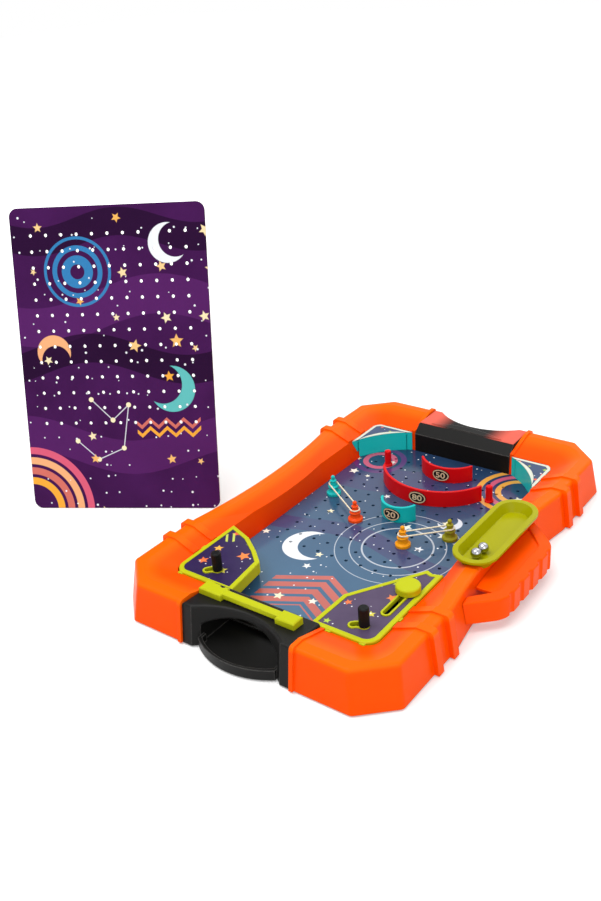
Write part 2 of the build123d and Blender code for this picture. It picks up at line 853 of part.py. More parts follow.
def make_flipper(sign):
    left = sign < 0
    pivot = left_pivot if left else right_pivot
    reach = left_reach if left else right_reach
    blade_angle = left_blade_angle if left else right_blade_angle
    lever_angle = left_lever_angle if left else right_lever_angle
    blade = Pos(*pivot) * Rot(0, 0, blade_angle) * link_face(hub_r, tip_r, reach)
    arm = Pos(*pivot) * Rot(0, 0, lever_angle) * link_face(hub_r, arm_r, arm_len)
    body = prism(blade, blade_low_z, blade_low_z + blade_h)
    body += prism(arm, arm_low_z, arm_low_z + arm_thick)
    body += rod(*pivot, hub_r, blade_low_z, panel_under_z - gap)
    body -= rod(*pivot, pivot_r + snug, 0, ridge_z)
    return body - rod(*polar(pivot, arm_len, lever_angle), lever_stem_r, 0, ridge_z)


def make_lever(sign):
    pivot, angle = (left_pivot, left_lever_angle) if sign < 0 else (right_pivot, right_lever_angle)
    x, y = polar(pivot, arm_len, angle)
    grip_z = panel_top_z + bead_rise + gap
    grip = rod(x, y, lever_grip_r, grip_z, grip_z + lever_grip_h)
    grip = fillet(grip.edges().group_by(Axis.Z)[-1], lever_grip_r / 3)
    return grip + rod(x, y, lever_stem_r, arm_low_z, grip_z)


def make_pivot_screws():
    screws = []
    for pivot in (left_pivot, right_pivot):
        head_top = pin_low_z
        head = rod(*pivot, pivot_r + wall / 2, head_top - pivot_screw_head_h, head_top)
        screws.append(head + rod(*pivot, screw_shank_r - snug, head_top, panel_under_z - gap))
    return Compound(children=screws)


def spring_z():
    return striker_low_z + (carriage_h + head_r) / 3


def make_launcher_knob():
    cap = rod(launch_x, launch_y, knob_r, knob_low_z, knob_low_z + knob_h)
    cap = fillet(cap.edges().group_by(Axis.Z)[-1], knob_round)
    cap += rod(launch_x, launch_y, knob_stem_r, panel_under_z - gap, knob_low_z)
    return cap - rod(launch_x, launch_y, screw_shank_r, 0, knob_low_z + knob_h / 2)


def striker_span():
    return launch_y - carriage_len / 2, launch_y + carriage_len / 2 + head_len


def make_launcher_plunger():
    top = panel_under_z - gap
    front, rear = striker_span()
    half = carriage_wid / 2
    body = block(launch_x - half, launch_x + half, front, front + carriage_len, top - carriage_h, top)
    keel = striker_wid / 2
    body += block(launch_x - keel, launch_x + keel, front, rear - head_len, striker_low_z, top - carriage_h)
    axis = Rot(90, 0, 0)
    body += Pos(launch_x, rear - head_len / 2, board_top_z + ball_r + gap) * axis * Cylinder(head_r, head_len)
    body += Pos(launch_x, front - spigot_len / 2, spring_z()) * axis * Cylinder(spigot_r, spigot_len)
    return body - rod(launch_x, launch_y, screw_shank_r, 0, ridge_z) - rod(
        launch_x, launch_y, screw_head_r + gap, 0, top - carriage_h + screw_head_h
    )


def make_launcher_screw():
    top = panel_under_z - gap
    head_z = top - carriage_h
    head = rod(launch_x, launch_y, screw_head_r, head_z, head_z + screw_head_h)
    return head + rod(launch_x, launch_y, screw_shank_r - snug, head_z + screw_head_h, knob_low_z + gap)


# Compression spring as one helix of arcs: two tangent arcs for each half turn
def spring_path():
    front, _ = striker_span()
    start_y = lug_y + spring_wire_r + gap
    stop_y = front - spring_wire_r - gap
    pitch = (stop_y - start_y) / spring_turns
    z = spring_z()

    def point(turn):
        angle = radians(360 * turn)
        return Vector(launch_x + spring_r * cos(angle), start_y + pitch * turn, z + spring_r * sin(angle))

    def tangent(turn):
        angle = radians(360 * turn)
        round_speed = spring_r * radians(360)
        return Vector(-round_speed * sin(angle), pitch, round_speed * cos(angle)).normalized()

    edges = []
    for half in range(spring_turns * 2):
        a, b = half / 2, half / 2 + 1 / 2
        p0, p1, t0, t1 = point(a), point(b), tangent(a), tangent(b)
        span = p1 - p0
        along = span.dot(t0 + t1)
        bend = 2 * (1 - t0.dot(t1))
        reach = (sqrt(along * along + bend * span.dot(span)) - along) / bend
        c0, c1 = p0 + t0 * reach, p1 - t1 * reach
        joint = (c0 + c1) * 0.5
        edges.append(TangentArc(p0, joint, tangent=t0))
        edges.append(TangentArc(joint, p1, tangent=(c1 - c0).normalized()))
    return Wire(edges), pitch


def make_launcher_spring():
    path, pitch = spring_path()
    print("launcher_spring: least gap between turns", round(pitch - spring_wire_r * 2, 2), "mm")
    start = path @ 0
    plane = Plane(origin=start, z_dir=path % 0)
    return sweep(plane * Circle(spring_wire_r), path=path)


# Flared trough of the ball tray between two heights
def tray_hull(inset, low, high):
    floor_len = tray_len - tray_wid + tray_floor_wid
    bottom = (Pos(0, 0, low) * capsule(tray_floor_wid - inset * 2, floor_len - inset * 2)).face()
    neck = tray_rim + inset
    top = (Pos(0, 0, high) * capsule(tray_wid - neck * 2, tray_len - neck * 2)).face()
    return Solid.make_loft([bottom.outer_wire(), top.outer_wire()], True)


def make_ball_tray():
    lip_low = tray_rim_z - tray_rim_h
    tray = tray_hull(0, tray_seat_z, tray_rim_z)
    tray += prism(capsule(tray_wid, tray_len), lip_low, tray_rim_z)
    tray = fillet(tray.edges().group_by(Axis.Z)[-1], tray_wall / 3)
    tray -= tray_hull(tray_wall, tray_seat_z + tray_wall, tray_rim_z + snug)
    for sign in (1, -1):
        y = tray_mid_y + sign * tray_peg_half
        tray += rod(tray_mid_x, y, tray_peg_r, tray_seat_z - tray_peg_len, tray_seat_z)
    return tray


def make_ball(step):
    at = (tray_mid_x + step[0], tray_mid_y + step[1], tray_seat_z + tray_wall + ball_r + snug)
    return Pos(*at) * Sphere(ball_r)


def corner_stem(sign):
    inset = ledge_wid + stem_r * 2
    return (sign * (board_wid / 2 - inset), board_rear_y - inset - stem_r)


def stem(x, y):
    return rod(x, y, stem_r, board_under_z - stem_drop, board_top_z + gap)


def curved_walls():
    return {
        "big_wall": (big_wall_r, big_wall_arc, big_wall_pegs),
        "small_wall": (small_wall_r, small_wall_arc, small_wall_pegs),
        "round_wall": (round_wall_r, round_wall_arc, round_wall_pegs),
    }


# Middle of a curved wall whose front runs through its peg holes
def wall_middle(r, pegs):
    places = [peg(*where) for where in pegs]
    x = sum(place[0] for place in places) / len(places)
    half_chord = (places[-1][0] - places[0][0]) / 2
    return (x, places[0][1] + sqrt(r ** 2 - half_chord ** 2))


# Sector of a ring in plan with rounded ends
def arc_band(at, r, thick, arc):
    mid = (arc[0] + arc[1]) / 2
    inner, outer = r - thick / 2, r + thick / 2
    edges = [
        ThreePointArc(*[polar(at, outer, a) for a in (arc[0], mid, arc[1])]),
        ThreePointArc(*[polar(at, inner, a) for a in (arc[0], mid, arc[1])]),
    ]
    for angle, turn in ((arc[0], -90), (arc[1], 90)):
        tip = polar(polar(at, r, angle), thick / 2, angle + turn)
        edges.append(ThreePointArc(polar(at, outer, angle), tip, polar(at, inner, angle)))
    return face_of(edges)


def make_curved_wall(r, arc, pegs):
    at = wall_middle(r, pegs)
    body = prism(arc_band(at, r, target_thick, arc), board_top_z + snug, board_top_z + target_h)
    for where in pegs:
        body += stem(*peg(*where))
    return body


# Score badges: oval plates bent to the front of each curved wall
def make_score_badges():
    plates = []
    for r, arc, pegs in curved_walls().values():
        at = wall_middle(r, pegs)
        mid = (arc[0] + arc[1]) / 2
        face_r = r + target_thick / 2 + badge_thick / 2
        band = prism(arc_band(at, face_r, badge_thick, (mid - badge_span, mid + badge_span)), 0, ridge_z)
        centre = polar(at, r, mid)
        aim = Pos(*centre, board_top_z + target_h / 2) * Rot(0, 0, mid) * Rot(0, 90, 0)
        oval = extrude(Ellipse(badge_half_h, badge_half_wid), amount=r / 2, both=True)
        plates.append(band & (aim * oval))
    return Compound(children=[plate.solid() for plate in plates])


def make_posts():
    posts = []
    for x, y in [peg(*where) for where in post_pegs]:
        low = board_top_z + snug
        post = rod(x, y, post_r, low, low + post_h)
        post = fillet(post.edges().group_by(Axis.Z)[-1], post_r / 2)
        posts.append(post + rod(x, y, post_base_r, low, low + post_base_h) + stem(x, y))
    return Compound(children=[post.solid() for post in posts])


def make_cone(place):
    points = [(0, 0)] + [(r * cone_base_r, z * cone_h) for r, z in cone_profile_shares]
    neck_r, neck_z = points[-1]
    points.append((0, neck_z))
    cone = revolve(Plane.XZ * make_face(Polyline(*points, close=True)), axis=Axis.Z)
    cone += Pos(0, 0, neck_z + sqrt(cone_ball_r ** 2 - neck_r ** 2)) * Sphere(cone_ball_r)
    return Pos(*place, board_top_z + snug) * cone + stem(*place)


# Rubber band stretched round the necks of two cones: two runs and two half rounds
def make_band(first, second):
    a, b = Vector(*peg(*cone_pegs[first])), Vector(*peg(*cone_pegs[second]))
    along = (b - a).normalized()
    across = Vector(-along.Y, along.X)
    r = cone_groove_share * cone_base_r + band_r + gap
    z = board_top_z + band_height_share * cone_h
    lift = Vector(0, 0, z)
    edges = [
        Line(a + across * r + lift, b + across * r + lift),
        ThreePointArc(b + across * r + lift, b + along * r + lift, b - across * r + lift),
        Line(b - across * r + lift, a - across * r + lift),
        ThreePointArc(a - across * r + lift, a - along * r + lift, a + across * r + lift),
    ]
    path = Wire(edges)
    section = Plane(origin=a + across * r + lift, z_dir=along) * Circle(band_r)
    return sweep(section, path=path)


# Corner deflector: two straight backs against the well and one hollow face to the ball
def corner_face(sign, inset):
    x = sign * (panel_outer_x - inset)
    y = board_rear_y - gap - inset
    far_x = x - sign * (corner_reach_x - inset * corner_tip_share)
    far_y = y - (corner_reach_y - inset * corner_tip_share)
    bend = (corner_bow + inset) / sqrt(2)
    middle = ((x + far_x) / 2 + sign * bend, (y + far_y) / 2 + bend)
    blunt = corner_wall * corner_blunt_share
    edges = [
        Line((x, far_y), (x, y - blunt)),
        Line((x, y - blunt), (x - sign * blunt, y)),
        Line((x - sign * blunt, y), (far_x, y)),
        ThreePointArc((far_x, y), middle, (x, far_y)),
    ]
    return face_of(edges)


def make_corner(sign):
    print_z = corner_top_z - corner_print_thick
    body = prism(corner_face(sign, 0), board_top_z + snug, corner_top_z)
    body -= prism(corner_face(sign, corner_wall), 0, print_z - corner_wall)
    body -= prism(corner_face(sign, corner_border), print_z, corner_top_z + over)
    body &= well_space(-gap)
    place = corner_stem(sign)
    body += rod(*place, stem_r * 2, board_top_z + snug, print_z - corner_wall)
    return body + stem(*place)


def make_corner_print(sign):
    print_z = corner_top_z - corner_print_thick
    return prism(corner_face(sign, corner_border + snug * 2), print_z, corner_top_z)


def all_parts():
    parts = case_sections() | {
        "base_plate": make_base_plate(),
        "case_screws": make_case_screws(),
        "rubber_feet": make_feet(),
        "playfield_board": make_playfield_board(),
        "spare_board": make_spare_board(),
        "front_housing": make_front_housing(),
        "rear_housing": make_rear_housing(),
        "crossbar": make_crossbar(),
        "carry_handle": make_handle(),
        "ball_tray": make_ball_tray(),
        "launcher_knob": make_launcher_knob(),
        "launcher_plunger": make_launcher_plunger(),
        "launcher_screw": make_launcher_screw(),
        "launcher_spring": make_launcher_spring(),
        "pivot_screws": make_pivot_screws(),
        "score_badges": make_score_badges(),
        "bumper_posts": make_posts(),
        "left_band": make_band("teal_cone", "red_cone"),
        "right_band": make_band("amber_cone", "olive_cone"),
    }
    for sign, side in ((-1, "left"), (1, "right")):
        parts[side + "_panel"] = make_panel(sign)
        parts[side + "_print"] = make_print(sign)
        parts[side + "_flipper"] = make_flipper(sign)
        parts[side + "_lever"] = make_lever(sign)
        parts[side + "_corner"] = make_corner(sign)
        parts[side + "_corner_print"] = make_corner_print(sign)
    for name, (r, arc, pegs) in curved_walls().items():
        parts[name] = make_curved_wall(r, arc, pegs)
    for name, where in cone_pegs.items():
        parts[name] = make_cone(peg(*where))
    for number, step in enumerate(ball_steps, 1):
        parts["ball_" + str(number)] = make_ball(step)
    return parts


os.makedirs("parts", exist_ok=True)
for node, shape in all_parts().items():
    export_step(shape, "parts/" + node + ".step")
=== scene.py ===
import math
import bmesh
import bpy
from mathutils import Matrix, Vector


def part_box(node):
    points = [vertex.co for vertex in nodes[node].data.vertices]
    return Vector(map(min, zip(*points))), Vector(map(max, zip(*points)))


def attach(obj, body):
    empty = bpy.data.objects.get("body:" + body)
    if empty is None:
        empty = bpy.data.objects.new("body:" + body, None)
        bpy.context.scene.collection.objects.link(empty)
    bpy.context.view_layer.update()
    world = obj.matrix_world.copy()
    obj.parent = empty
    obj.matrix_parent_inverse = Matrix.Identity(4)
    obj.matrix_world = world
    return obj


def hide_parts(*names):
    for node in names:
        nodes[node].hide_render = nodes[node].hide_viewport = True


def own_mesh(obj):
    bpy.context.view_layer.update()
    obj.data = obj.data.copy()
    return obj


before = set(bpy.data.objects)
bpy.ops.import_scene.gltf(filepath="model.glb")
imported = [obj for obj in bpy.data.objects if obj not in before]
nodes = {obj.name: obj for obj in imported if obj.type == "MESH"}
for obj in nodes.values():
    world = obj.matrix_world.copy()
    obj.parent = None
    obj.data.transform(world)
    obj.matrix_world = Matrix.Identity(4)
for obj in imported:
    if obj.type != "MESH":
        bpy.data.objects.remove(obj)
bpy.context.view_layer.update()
mm = 0.001
print("frame loaded,", len(nodes), "nodes")


# colour written as 0 to 255, turned into the linear values that the sockets take
def ink(red, green, blue):
    def linear(value):
        share = value / 255
        return share / 12.92 if share <= 0.04045 else ((share + 0.055) / 1.055) ** 2.4
    return (linear(red), linear(green), linear(blue), 1)


# a wrapped socket, so that shader maths reads as plain expressions
class Wire:
    def __init__(self, shading, socket):
        self.shading = shading
        self.socket = socket

    def math(self, operation, first, second=0):
        return self.shading.add("ShaderNodeMath", {"operation": operation}, {0: first, 1: second})

    def __add__(self, other):
        return self.math("ADD", self, other)

    def __sub__(self, other):
        return self.math("SUBTRACT", self, other)

    def __rsub__(self, other):
        return self.math("SUBTRACT", other, self)

    def __mul__(self, other):
        return self.math("MULTIPLY", self, other)

    def __truediv__(self, other):
        return self.math("DIVIDE", self, other)

    def __mod__(self, other):
        return self.math("FLOORED_MODULO", self, other)

    def __gt__(self, other):
        return self.math("GREATER_THAN", self, other)

    def __abs__(self):
        return self.math("ABSOLUTE", self)

    __radd__ = __add__
    __rmul__ = __mul__

    def sin(self):
        return self.math("SINE", self)

    def cos(self):
        return self.math("COSINE", self)

    def most(self, other):
        return self.math("MAXIMUM", self, other)

    def least(self, other):
        return self.math("MINIMUM", self, other)

    # the angle of a direction, with this wire as its y
    def turn(self, x):
        return self.math("ARCTAN2", self, x)


# a shader node tree, of a material or of the surroundings
class Shading:
    def __init__(self, tree):
        self.tree = tree

    def pick(self, sockets, key):
        if isinstance(key, int):
            return sockets[key]
        return next(s for s in sockets if key in (s.identifier, s.name))

    def feed(self, socket, value):
        if isinstance(value, Wire):
            self.tree.links.new(value.socket, socket)
        else:
            socket.default_value = value

    def add(self, kind, settings=None, inputs=None, out=0):
        node = self.tree.nodes.new(kind)
        for name, value in (settings or {}).items():
            if name == "stops":
                ramp = node.color_ramp.elements
                while len(ramp) < len(value):
                    ramp.new(1)
                for element, (place, colour) in zip(ramp, value):
                    element.position = place
                    element.color = colour
            else:
                setattr(node, name, value)
        for key, value in (inputs or {}).items():
            self.feed(self.pick(node.inputs, key), value)
        if isinstance(out, tuple):
            return [Wire(self, self.pick(node.outputs, key)) for key in out]
        return Wire(self, self.pick(node.outputs, out))

    # 1 for the rays that show the surroundings: straight, mirrored or through glass
    def seen(self):
        kinds = ("Is Camera Ray", "Is Glossy Ray", "Is Transmission Ray")
        straight, mirrored, through = self.add("ShaderNodeLightPath", out=kinds)
        return (straight + mirrored + through).least(1)


# how printed motifs are drawn: edges in millimetres, the star's turn in radians, the rest as shares
motifLook = {
    "edge": 0.35,
    "fineEdge": 0.3,
    "waveEdge": 0.5,
    "crescentBite": 0.86,
    "starWaist": 0.48,
    "starLeast": 0.6,
    "starSpread": 0.8,
    "starTurn": 6,
    "starJitter": 0.6,
    "dotLeast": 0.5,
    "dotSpread": 0.7,
    "dotJitter": 0.9,
}

# fine moulded grain, and how quickly a rounded edge counts as worn
grainLook = {"samples": 4, "detail": 2, "strength": 0.5, "edge": 0.0006, "edgeGain": 6}


# one material and its node tree
class Finish(Shading):
    def __init__(self, name):
        self.material = bpy.data.materials.new(name)
        self.material.use_nodes = True
        super().__init__(self.material.node_tree)
        self.tree.nodes.clear()
        self.shader = self.tree.nodes.new("ShaderNodeBsdfPrincipled")
        output = self.tree.nodes.new("ShaderNodeOutputMaterial")
        self.tree.links.new(self.shader.outputs[0], output.inputs[0])

    def set(self, sockets):
        for name, value in sockets.items():
            self.feed(self.pick(self.shader.inputs, name), value)
        return self

    def place(self):
        return self.add("ShaderNodeTexCoord", out="Object")

    # coordinates in millimetres about a printed sheet's own middle, and the height through the sheet
    def flat(self, middle, turn=(0, 0, 0)):
        settings = {"vector_type": "TEXTURE"}
        inputs = {"Vector": self.place(), "Location": middle, "Rotation": turn, "Scale": (mm, mm, mm)}
        local = self.add("ShaderNodeMapping", settings, inputs)
        return self.vector("MULTIPLY", local, (1, 1, 0)), self.split(local)[2]

    def vector(self, operation, first, second=(0, 0, 0), out=0):
        return self.add("ShaderNodeVectorMath", {"operation": operation}, {0: first, 1: second}, out)

    def split(self, vector):
        return self.add("ShaderNodeSeparateXYZ", None, {0: vector}, (0, 1, 2))

    def noise(self, scale, detail=3, stretch=(1, 1, 1), where=None):
        spot = self.vector("MULTIPLY", where or self.place(), stretch)
        return self.add("ShaderNodeTexNoise", None, {"Vector": spot, "Scale": scale, "Detail": detail})

    def blend(self, first, second, mask):
        inputs = {"Factor_Float": mask, "A_Color": first, "B_Color": second}
        return self.add("ShaderNodeMix", {"data_type": "RGBA"}, inputs, "Result_Color")

    # 0 at start and 1 at stop
    def rise(self, value, start, stop, manner="LINEAR"):
        inputs = {"Value": value, "From Min": start, "From Max": stop}
        return self.add("ShaderNodeMapRange", {"interpolation_type": manner}, inputs)

    # 0 below and 1 above, over a soft edge
    def step(self, value, soft=motifLook["edge"]):
        return self.rise(value, -soft, soft, "SMOOTHSTEP")

    def distance(self, spot, x, y):
        return self.vector("DISTANCE", spot, (x, y, 0), "Value")

    def disc(self, spot, x, y, r):
        return self.step(r - self.distance(spot, x, y))

    def ring(self, spot, x, y, r, wide):
        return self.step(wide / 2 - abs(self.distance(spot, x, y) - r))

    def crescent(self, spot, x, y, r, lean):
        bite = self.disc(spot, x + r * lean[0], y + r * lean[1], r * motifLook["crescentBite"])
        return self.disc(spot, x, y, r) * (1 - bite)

    def segment(self, spot, start, stop, wide):
        run = (stop[0] - start[0], stop[1] - start[1], 0)
        length = run[0] ** 2 + run[1] ** 2
        away = self.vector("SUBTRACT", spot, (start[0], start[1], 0))
        share = self.vector("DOT_PRODUCT", away, run, "Value") / length
        share = share.most(0).least(1)
        foot = self.add("ShaderNodeVectorMath", {"operation": "SCALE"}, {0: run, "Scale": share})
        return self.step(wide / 2 - self.vector("DISTANCE", away, foot, "Value"))

    # a wavy band across the sheet
    def wave(self, spot, middle, height, pitch, shift, half):
        x, y, _ = self.split(spot)
        line = (x * (math.tau / pitch) + shift).sin() * height + middle
        return self.step(half - abs(y - line), motifLook["waveEdge"])

    # distance from the middle of each tooth of a repeat
    def saw(self, value, pitch, phase):
        return abs((value + phase) % pitch - pitch / 2)

    # nested arrows: bars that rise to both sides of a middle line, within a band of that rise
    def chevrons(self, spot, middle, slope, pitch, phase, half, bandMiddle, bandHalf, reach):
        x, y, _ = self.split(spot)
        aside = abs(x - middle)
        height = y + aside * slope
        bars = self.step(half - self.saw(height, pitch, phase))
        band = self.step(bandHalf - abs(height - bandMiddle))
        return bars * band * self.step(reach - aside)

    def zigzag(self, spot, low, pitch, phase, slope, half, middle, reach):
        x, y, _ = self.split(spot)
        line = self.saw(x, pitch, phase) * slope
        return self.step(half - abs(y - low - line)) * self.step(reach - abs(x - middle))

    # slanted bars inside a disc
    def stripes(self, spot, lean, pitch, phase, half, x, y, r):
        across, along, _ = self.split(spot)
        slant = across * lean[0] + along * lean[1]
        return self.step(half - self.saw(slant, pitch, phase)) * self.disc(spot, x, y, r)

    # random cells of a flat grid
    def cells(self, spot, pitch, jitter, out):
        cells = self.vector("DIVIDE", spot, (pitch, pitch, pitch))
        inputs = {"Vector": cells, "Scale": 1, "Randomness": jitter}
        return cells, self.add("ShaderNodeTexVoronoi", {"voronoi_dimensions": "2D"}, inputs, out)

    # one five-pointed star in each cell, with a random size, and its random colour value
    def stars(self, spot, pitch, size, keep, jitter=motifLook["starJitter"]):
        look = motifLook
        cells, (chance, middle) = self.cells(spot, pitch, jitter, ("Color", "Position"))
        away = self.vector("SUBTRACT", cells, middle)
        x, y, _ = self.split(away)
        first, second, third = self.split(chance)
        grown = (first * look["starSpread"] + look["starLeast"]) * size
        reach = self.vector("LENGTH", away, out="Value") * pitch / grown
        fifth = math.tau / 5
        tip = self.saw(y.turn(x) + second * look["starTurn"], fifth, fifth / 2)
        nx = look["starWaist"] * math.sin(fifth / 2)
        ny = 1 - look["starWaist"] * math.cos(fifth / 2)
        inside = (nx - reach * (tip.cos() * nx + tip.sin() * ny)) * grown
        return self.step(inside, look["fineEdge"]) * (third > 1 - keep), second

    def dots(self, spot, pitch, size, keep):
        look = motifLook
        _, (near, chance) = self.cells(spot, pitch, look["dotJitter"], ("Distance", "Color"))
        first, second, _ = self.split(chance)
        inside = size * (first * look["dotSpread"] + look["dotLeast"]) - near * pitch
        return self.step(inside, look["fineEdge"]) * (second > 1 - keep)

    # the normal with its sharp edges rounded
    def rounded(self, radius):
        return self.add("ShaderNodeBevel", {"samples": grainLook["samples"]}, {"Radius": radius})

    def bump(self, height, deep, strength, normal):
        inputs = {"Height": height, "Distance": deep, "Strength": strength, "Normal": normal}
        return self.set({"Normal": self.add("ShaderNodeBump", None, inputs)})

    # rounded edges and a fine moulded grain
    def grain(self, size, height, edge=grainLook["edge"]):
        soft = self.rounded(edge)
        self.bump(self.noise(1 / size, grainLook["detail"]), height, grainLook["strength"], soft)
        return soft

    # 1 on sharp edges, where handling polishes a moulding; the black housings also lay a painted highlight
    # there
    def edges(self, soft):
        flat = self.add("ShaderNodeNewGeometry", out="Normal")
        turned = 1 - self.vector("DOT_PRODUCT", soft, flat, "Value")
        return (turned * grainLook["edgeGain"]).least(1)


# moulded plastic: a slow drift of colour, flow streaks, polished edges and a fine grain
mouldLook = {
    "grain": (0.0007, 0.00004, 0.0008),
    "cloud": (14, 3),
    "streak": (60, 2, (1, 0.25, 1)),
    "cloudShare": 0.7,
    "streakShare": 0.3,
    "wear": (240, 2),
    "wearSpread": 0.7,
    "wearLeast": 0.15,
    "wearShow": 0.5,
    "rough": 0.34,
    "roughDrift": 0.12,
    "roughWear": 0.08,
    "shine": 0.1,
}


def moulded(name, colour, drift, edge, rough=mouldLook["rough"], shine=mouldLook["shine"], paintedLight=None):
    look = mouldLook
    finish = Finish(name)
    soft = finish.grain(*look["grain"])
    cloud = finish.noise(*look["cloud"])
    streak = finish.noise(*look["streak"])
    body = finish.blend(colour, drift, cloud * look["cloudShare"] + streak * look["streakShare"])
    # the painted light of a moulding that has it: the shell's painted highlight and painted shade
    if paintedLight:
        body = paintedLight(finish, body)
    worn = finish.edges(soft) * (finish.noise(*look["wear"]) * look["wearSpread"] + look["wearLeast"])
    return finish.set({
        "Base Color": finish.blend(body, edge, worn * look["wearShow"]),
        "Roughness": rough + (cloud - 0.5) * look["roughDrift"] - worn * look["roughWear"],
        "Specular IOR Level": shine,
    })


# drawn or polished metal, with fine lines along it
metalLook = {"lines": (900, 3, (1, 0.08, 1)), "lineInk": ink(150, 150, 154), "lineShow": 0.35}


def metal(name, colour, rough, scratch):
    look = metalLook
    finish = Finish(name)
    lines = finish.noise(*look["lines"])
    body = finish.blend(colour, look["lineInk"], lines * look["lineShow"])
    return finish.set({"Base Color": body, "Metallic": 1.0, "Roughness": rough + lines * scratch})


# soft rubber with a dusty speckle
rubberLook = {
    "grain": (0.0004, 0.00005),
    "speck": (700, 4),
    "rough": 0.55,
    "roughSpeck": 0.2,
    "shine": 0.25,
}


def rubber(name, colour, dusty):
    look = rubberLook
    finish = Finish(name)
    finish.grain(*look["grain"])
    speck = finish.noise(*look["speck"])
    return finish.set({
        "Base Color": finish.blend(colour, dusty, speck),
        "Roughness": look["rough"] + speck * look["roughSpeck"],
        "Specular IOR Level": look["shine"],
    })


# painted light on the shell: a painted highlight, lighter along its crown where light falls on the tops,
# and painted shade, redder down the walls of the playing well
shellLook = {
    "crown": ink(250, 100, 6),
    "crownFrom": 0.0355,
    "crownTo": 0.039,
    "well": ink(246, 54, 0),
    "wellHalf": (0.119, 0.172),
    "wellMiddle": 0.0107,
    "wellEdge": 0.006,
    "wellTop": 0.038,
    "wellSoft": 0.03,
}


def shellLightAndShade(finish, body):
    look = shellLook
    x, y, z = finish.split(finish.place())
    # painted highlight: lighter on the tops, where the light falls
    body = finish.blend(body, look["crown"], finish.rise(z, look["crownFrom"], look["crownTo"]))
    # painted shade: redder down the walls of the playing well
    sunk = finish.rise(z, look["wellTop"], look["wellTop"] - look["wellSoft"])
    inside = finish.step(look["wellHalf"][0] - abs(x), look["wellEdge"])
    inside = inside * finish.step(look["wellHalf"][1] - abs(y - look["wellMiddle"]), look["wellEdge"])
    return finish.blend(body, look["well"], sunk * inside)


# body, drift and edge colours, then roughness, shine and the painted light where a moulding has its own
plastics = {
    "orangeShell": (ink(250, 86, 0), ink(246, 74, 0), ink(254, 134, 44), 0.3, 0.05, shellLightAndShade),
    "limeTrim": (ink(190, 194, 24), ink(178, 184, 16), ink(218, 220, 92)),
    "limeTray": (ink(168, 166, 2), ink(158, 156, 2), ink(204, 206, 70), 0.22, 0.1),
    "tealPeg": (ink(24, 192, 188), ink(10, 178, 178), ink(120, 216, 210)),
    "redPeg": (ink(222, 14, 18), ink(206, 8, 14), ink(242, 86, 80)),
    "vermilionPeg": (ink(246, 82, 20), ink(236, 70, 14), ink(252, 140, 92)),
    "amberPeg": (ink(244, 162, 18), ink(236, 150, 10), ink(252, 200, 96)),
    "olivePeg": (ink(158, 152, 30), ink(144, 140, 24), ink(196, 192, 96)),
    "blackLever": (ink(26, 26, 27), ink(20, 20, 21), ink(58, 58, 60)),
    "greyBase": (ink(92, 96, 106), ink(84, 88, 98), ink(122, 124, 130)),
}
finishes = {name: moulded(name, *values) for name, values in plastics.items()}
finishes["steel"] = metal("platedSteel", ink(190, 190, 194), 0.28, 0.15)
finishes["chrome"] = metal("ballSteel", ink(176, 176, 180), 0.05, 0.04)
finishes["foot"] = rubber("footRubber", ink(34, 34, 34), ink(58, 57, 55))
finishes["band"] = rubber("bandRubber", ink(236, 228, 204), ink(220, 208, 178))
print("plain finishes made:", len(finishes))

# black housings, with a pale painted highlight over their worn edges, and on the shoulders of the far one
# a warm painted reflection of the orange shell
housingLook = {
    "grain": (0.0006, 0.00009, 0.0014),
    "black": ink(14, 14, 13),
    "worn": ink(30, 29, 28),
    # the edge colour is partly wear and mostly a painted highlight along the glossy edges
    "edge": ink(140, 137, 134),
    "speck": (1500, 2),
    "speckShow": 0.35,
    "cloud": (18, 3),
    "cloudShow": 0.2,
    "wear": (200, 2),
    "wearSpread": 0.8,
    "wearLeast": 0.1,
    "wearShow": 0.7,
    "rough": 0.34,
    "roughSpeck": 0.14,
    "roughWear": 0.1,
    # warm painted reflection of the orange shell on the far housing's top
    "paintedLight": ink(224, 96, 78),
    "reflectionFrom": 0.020,
    "reflectionTo": 0.046,
    "reflectionLow": 0.0392,
}


def housingFinish(name, withReflection, shine):
    look = housingLook
    finish = Finish(name)
    soft = finish.grain(*look["grain"])
    speck = finish.noise(*look["speck"])
    cloud = finish.noise(*look["cloud"])
    body = finish.blend(look["black"], look["worn"], speck * look["speckShow"] + cloud * look["cloudShow"])
    worn = finish.edges(soft) * (finish.noise(*look["wear"]) * look["wearSpread"] + look["wearLeast"])
    # lighter edges: wear, boosted into a painted highlight
    body = finish.blend(body, look["edge"], worn * look["wearShow"])
    # painted reflection: the far housing's top turns warm towards both ends, where the orange shell is
    # mirrored
    if withReflection:
        x, _, z = finish.split(finish.place())
        side = finish.rise(abs(x), look["reflectionFrom"], look["reflectionTo"], "SMOOTHSTEP")
        body = finish.blend(body, look["paintedLight"], side * (z > look["reflectionLow"]))
    return finish.set({
        "Base Color": body,
        "Roughness": look["rough"] + speck * look["roughSpeck"] - worn * look["roughWear"],
        "Specular IOR Level": shine,
    })


# corner deflectors: teal walls with a pale edge round the print
cornerLook = {
    "grain": (0.0007, 0.00004, 0.0006),
    "wall": ink(34, 210, 204),
    "drift": ink(18, 196, 194),
    "cloud": (20, 3),
    "edge": ink(222, 214, 196),
    "edgeLow": 0.0306,
    "edgeShow": 0.75,
    "edgeDrift": 0.2,
    "rough": 0.26,
    "roughDrift": 0.12,
    "shine": 0.18,
}


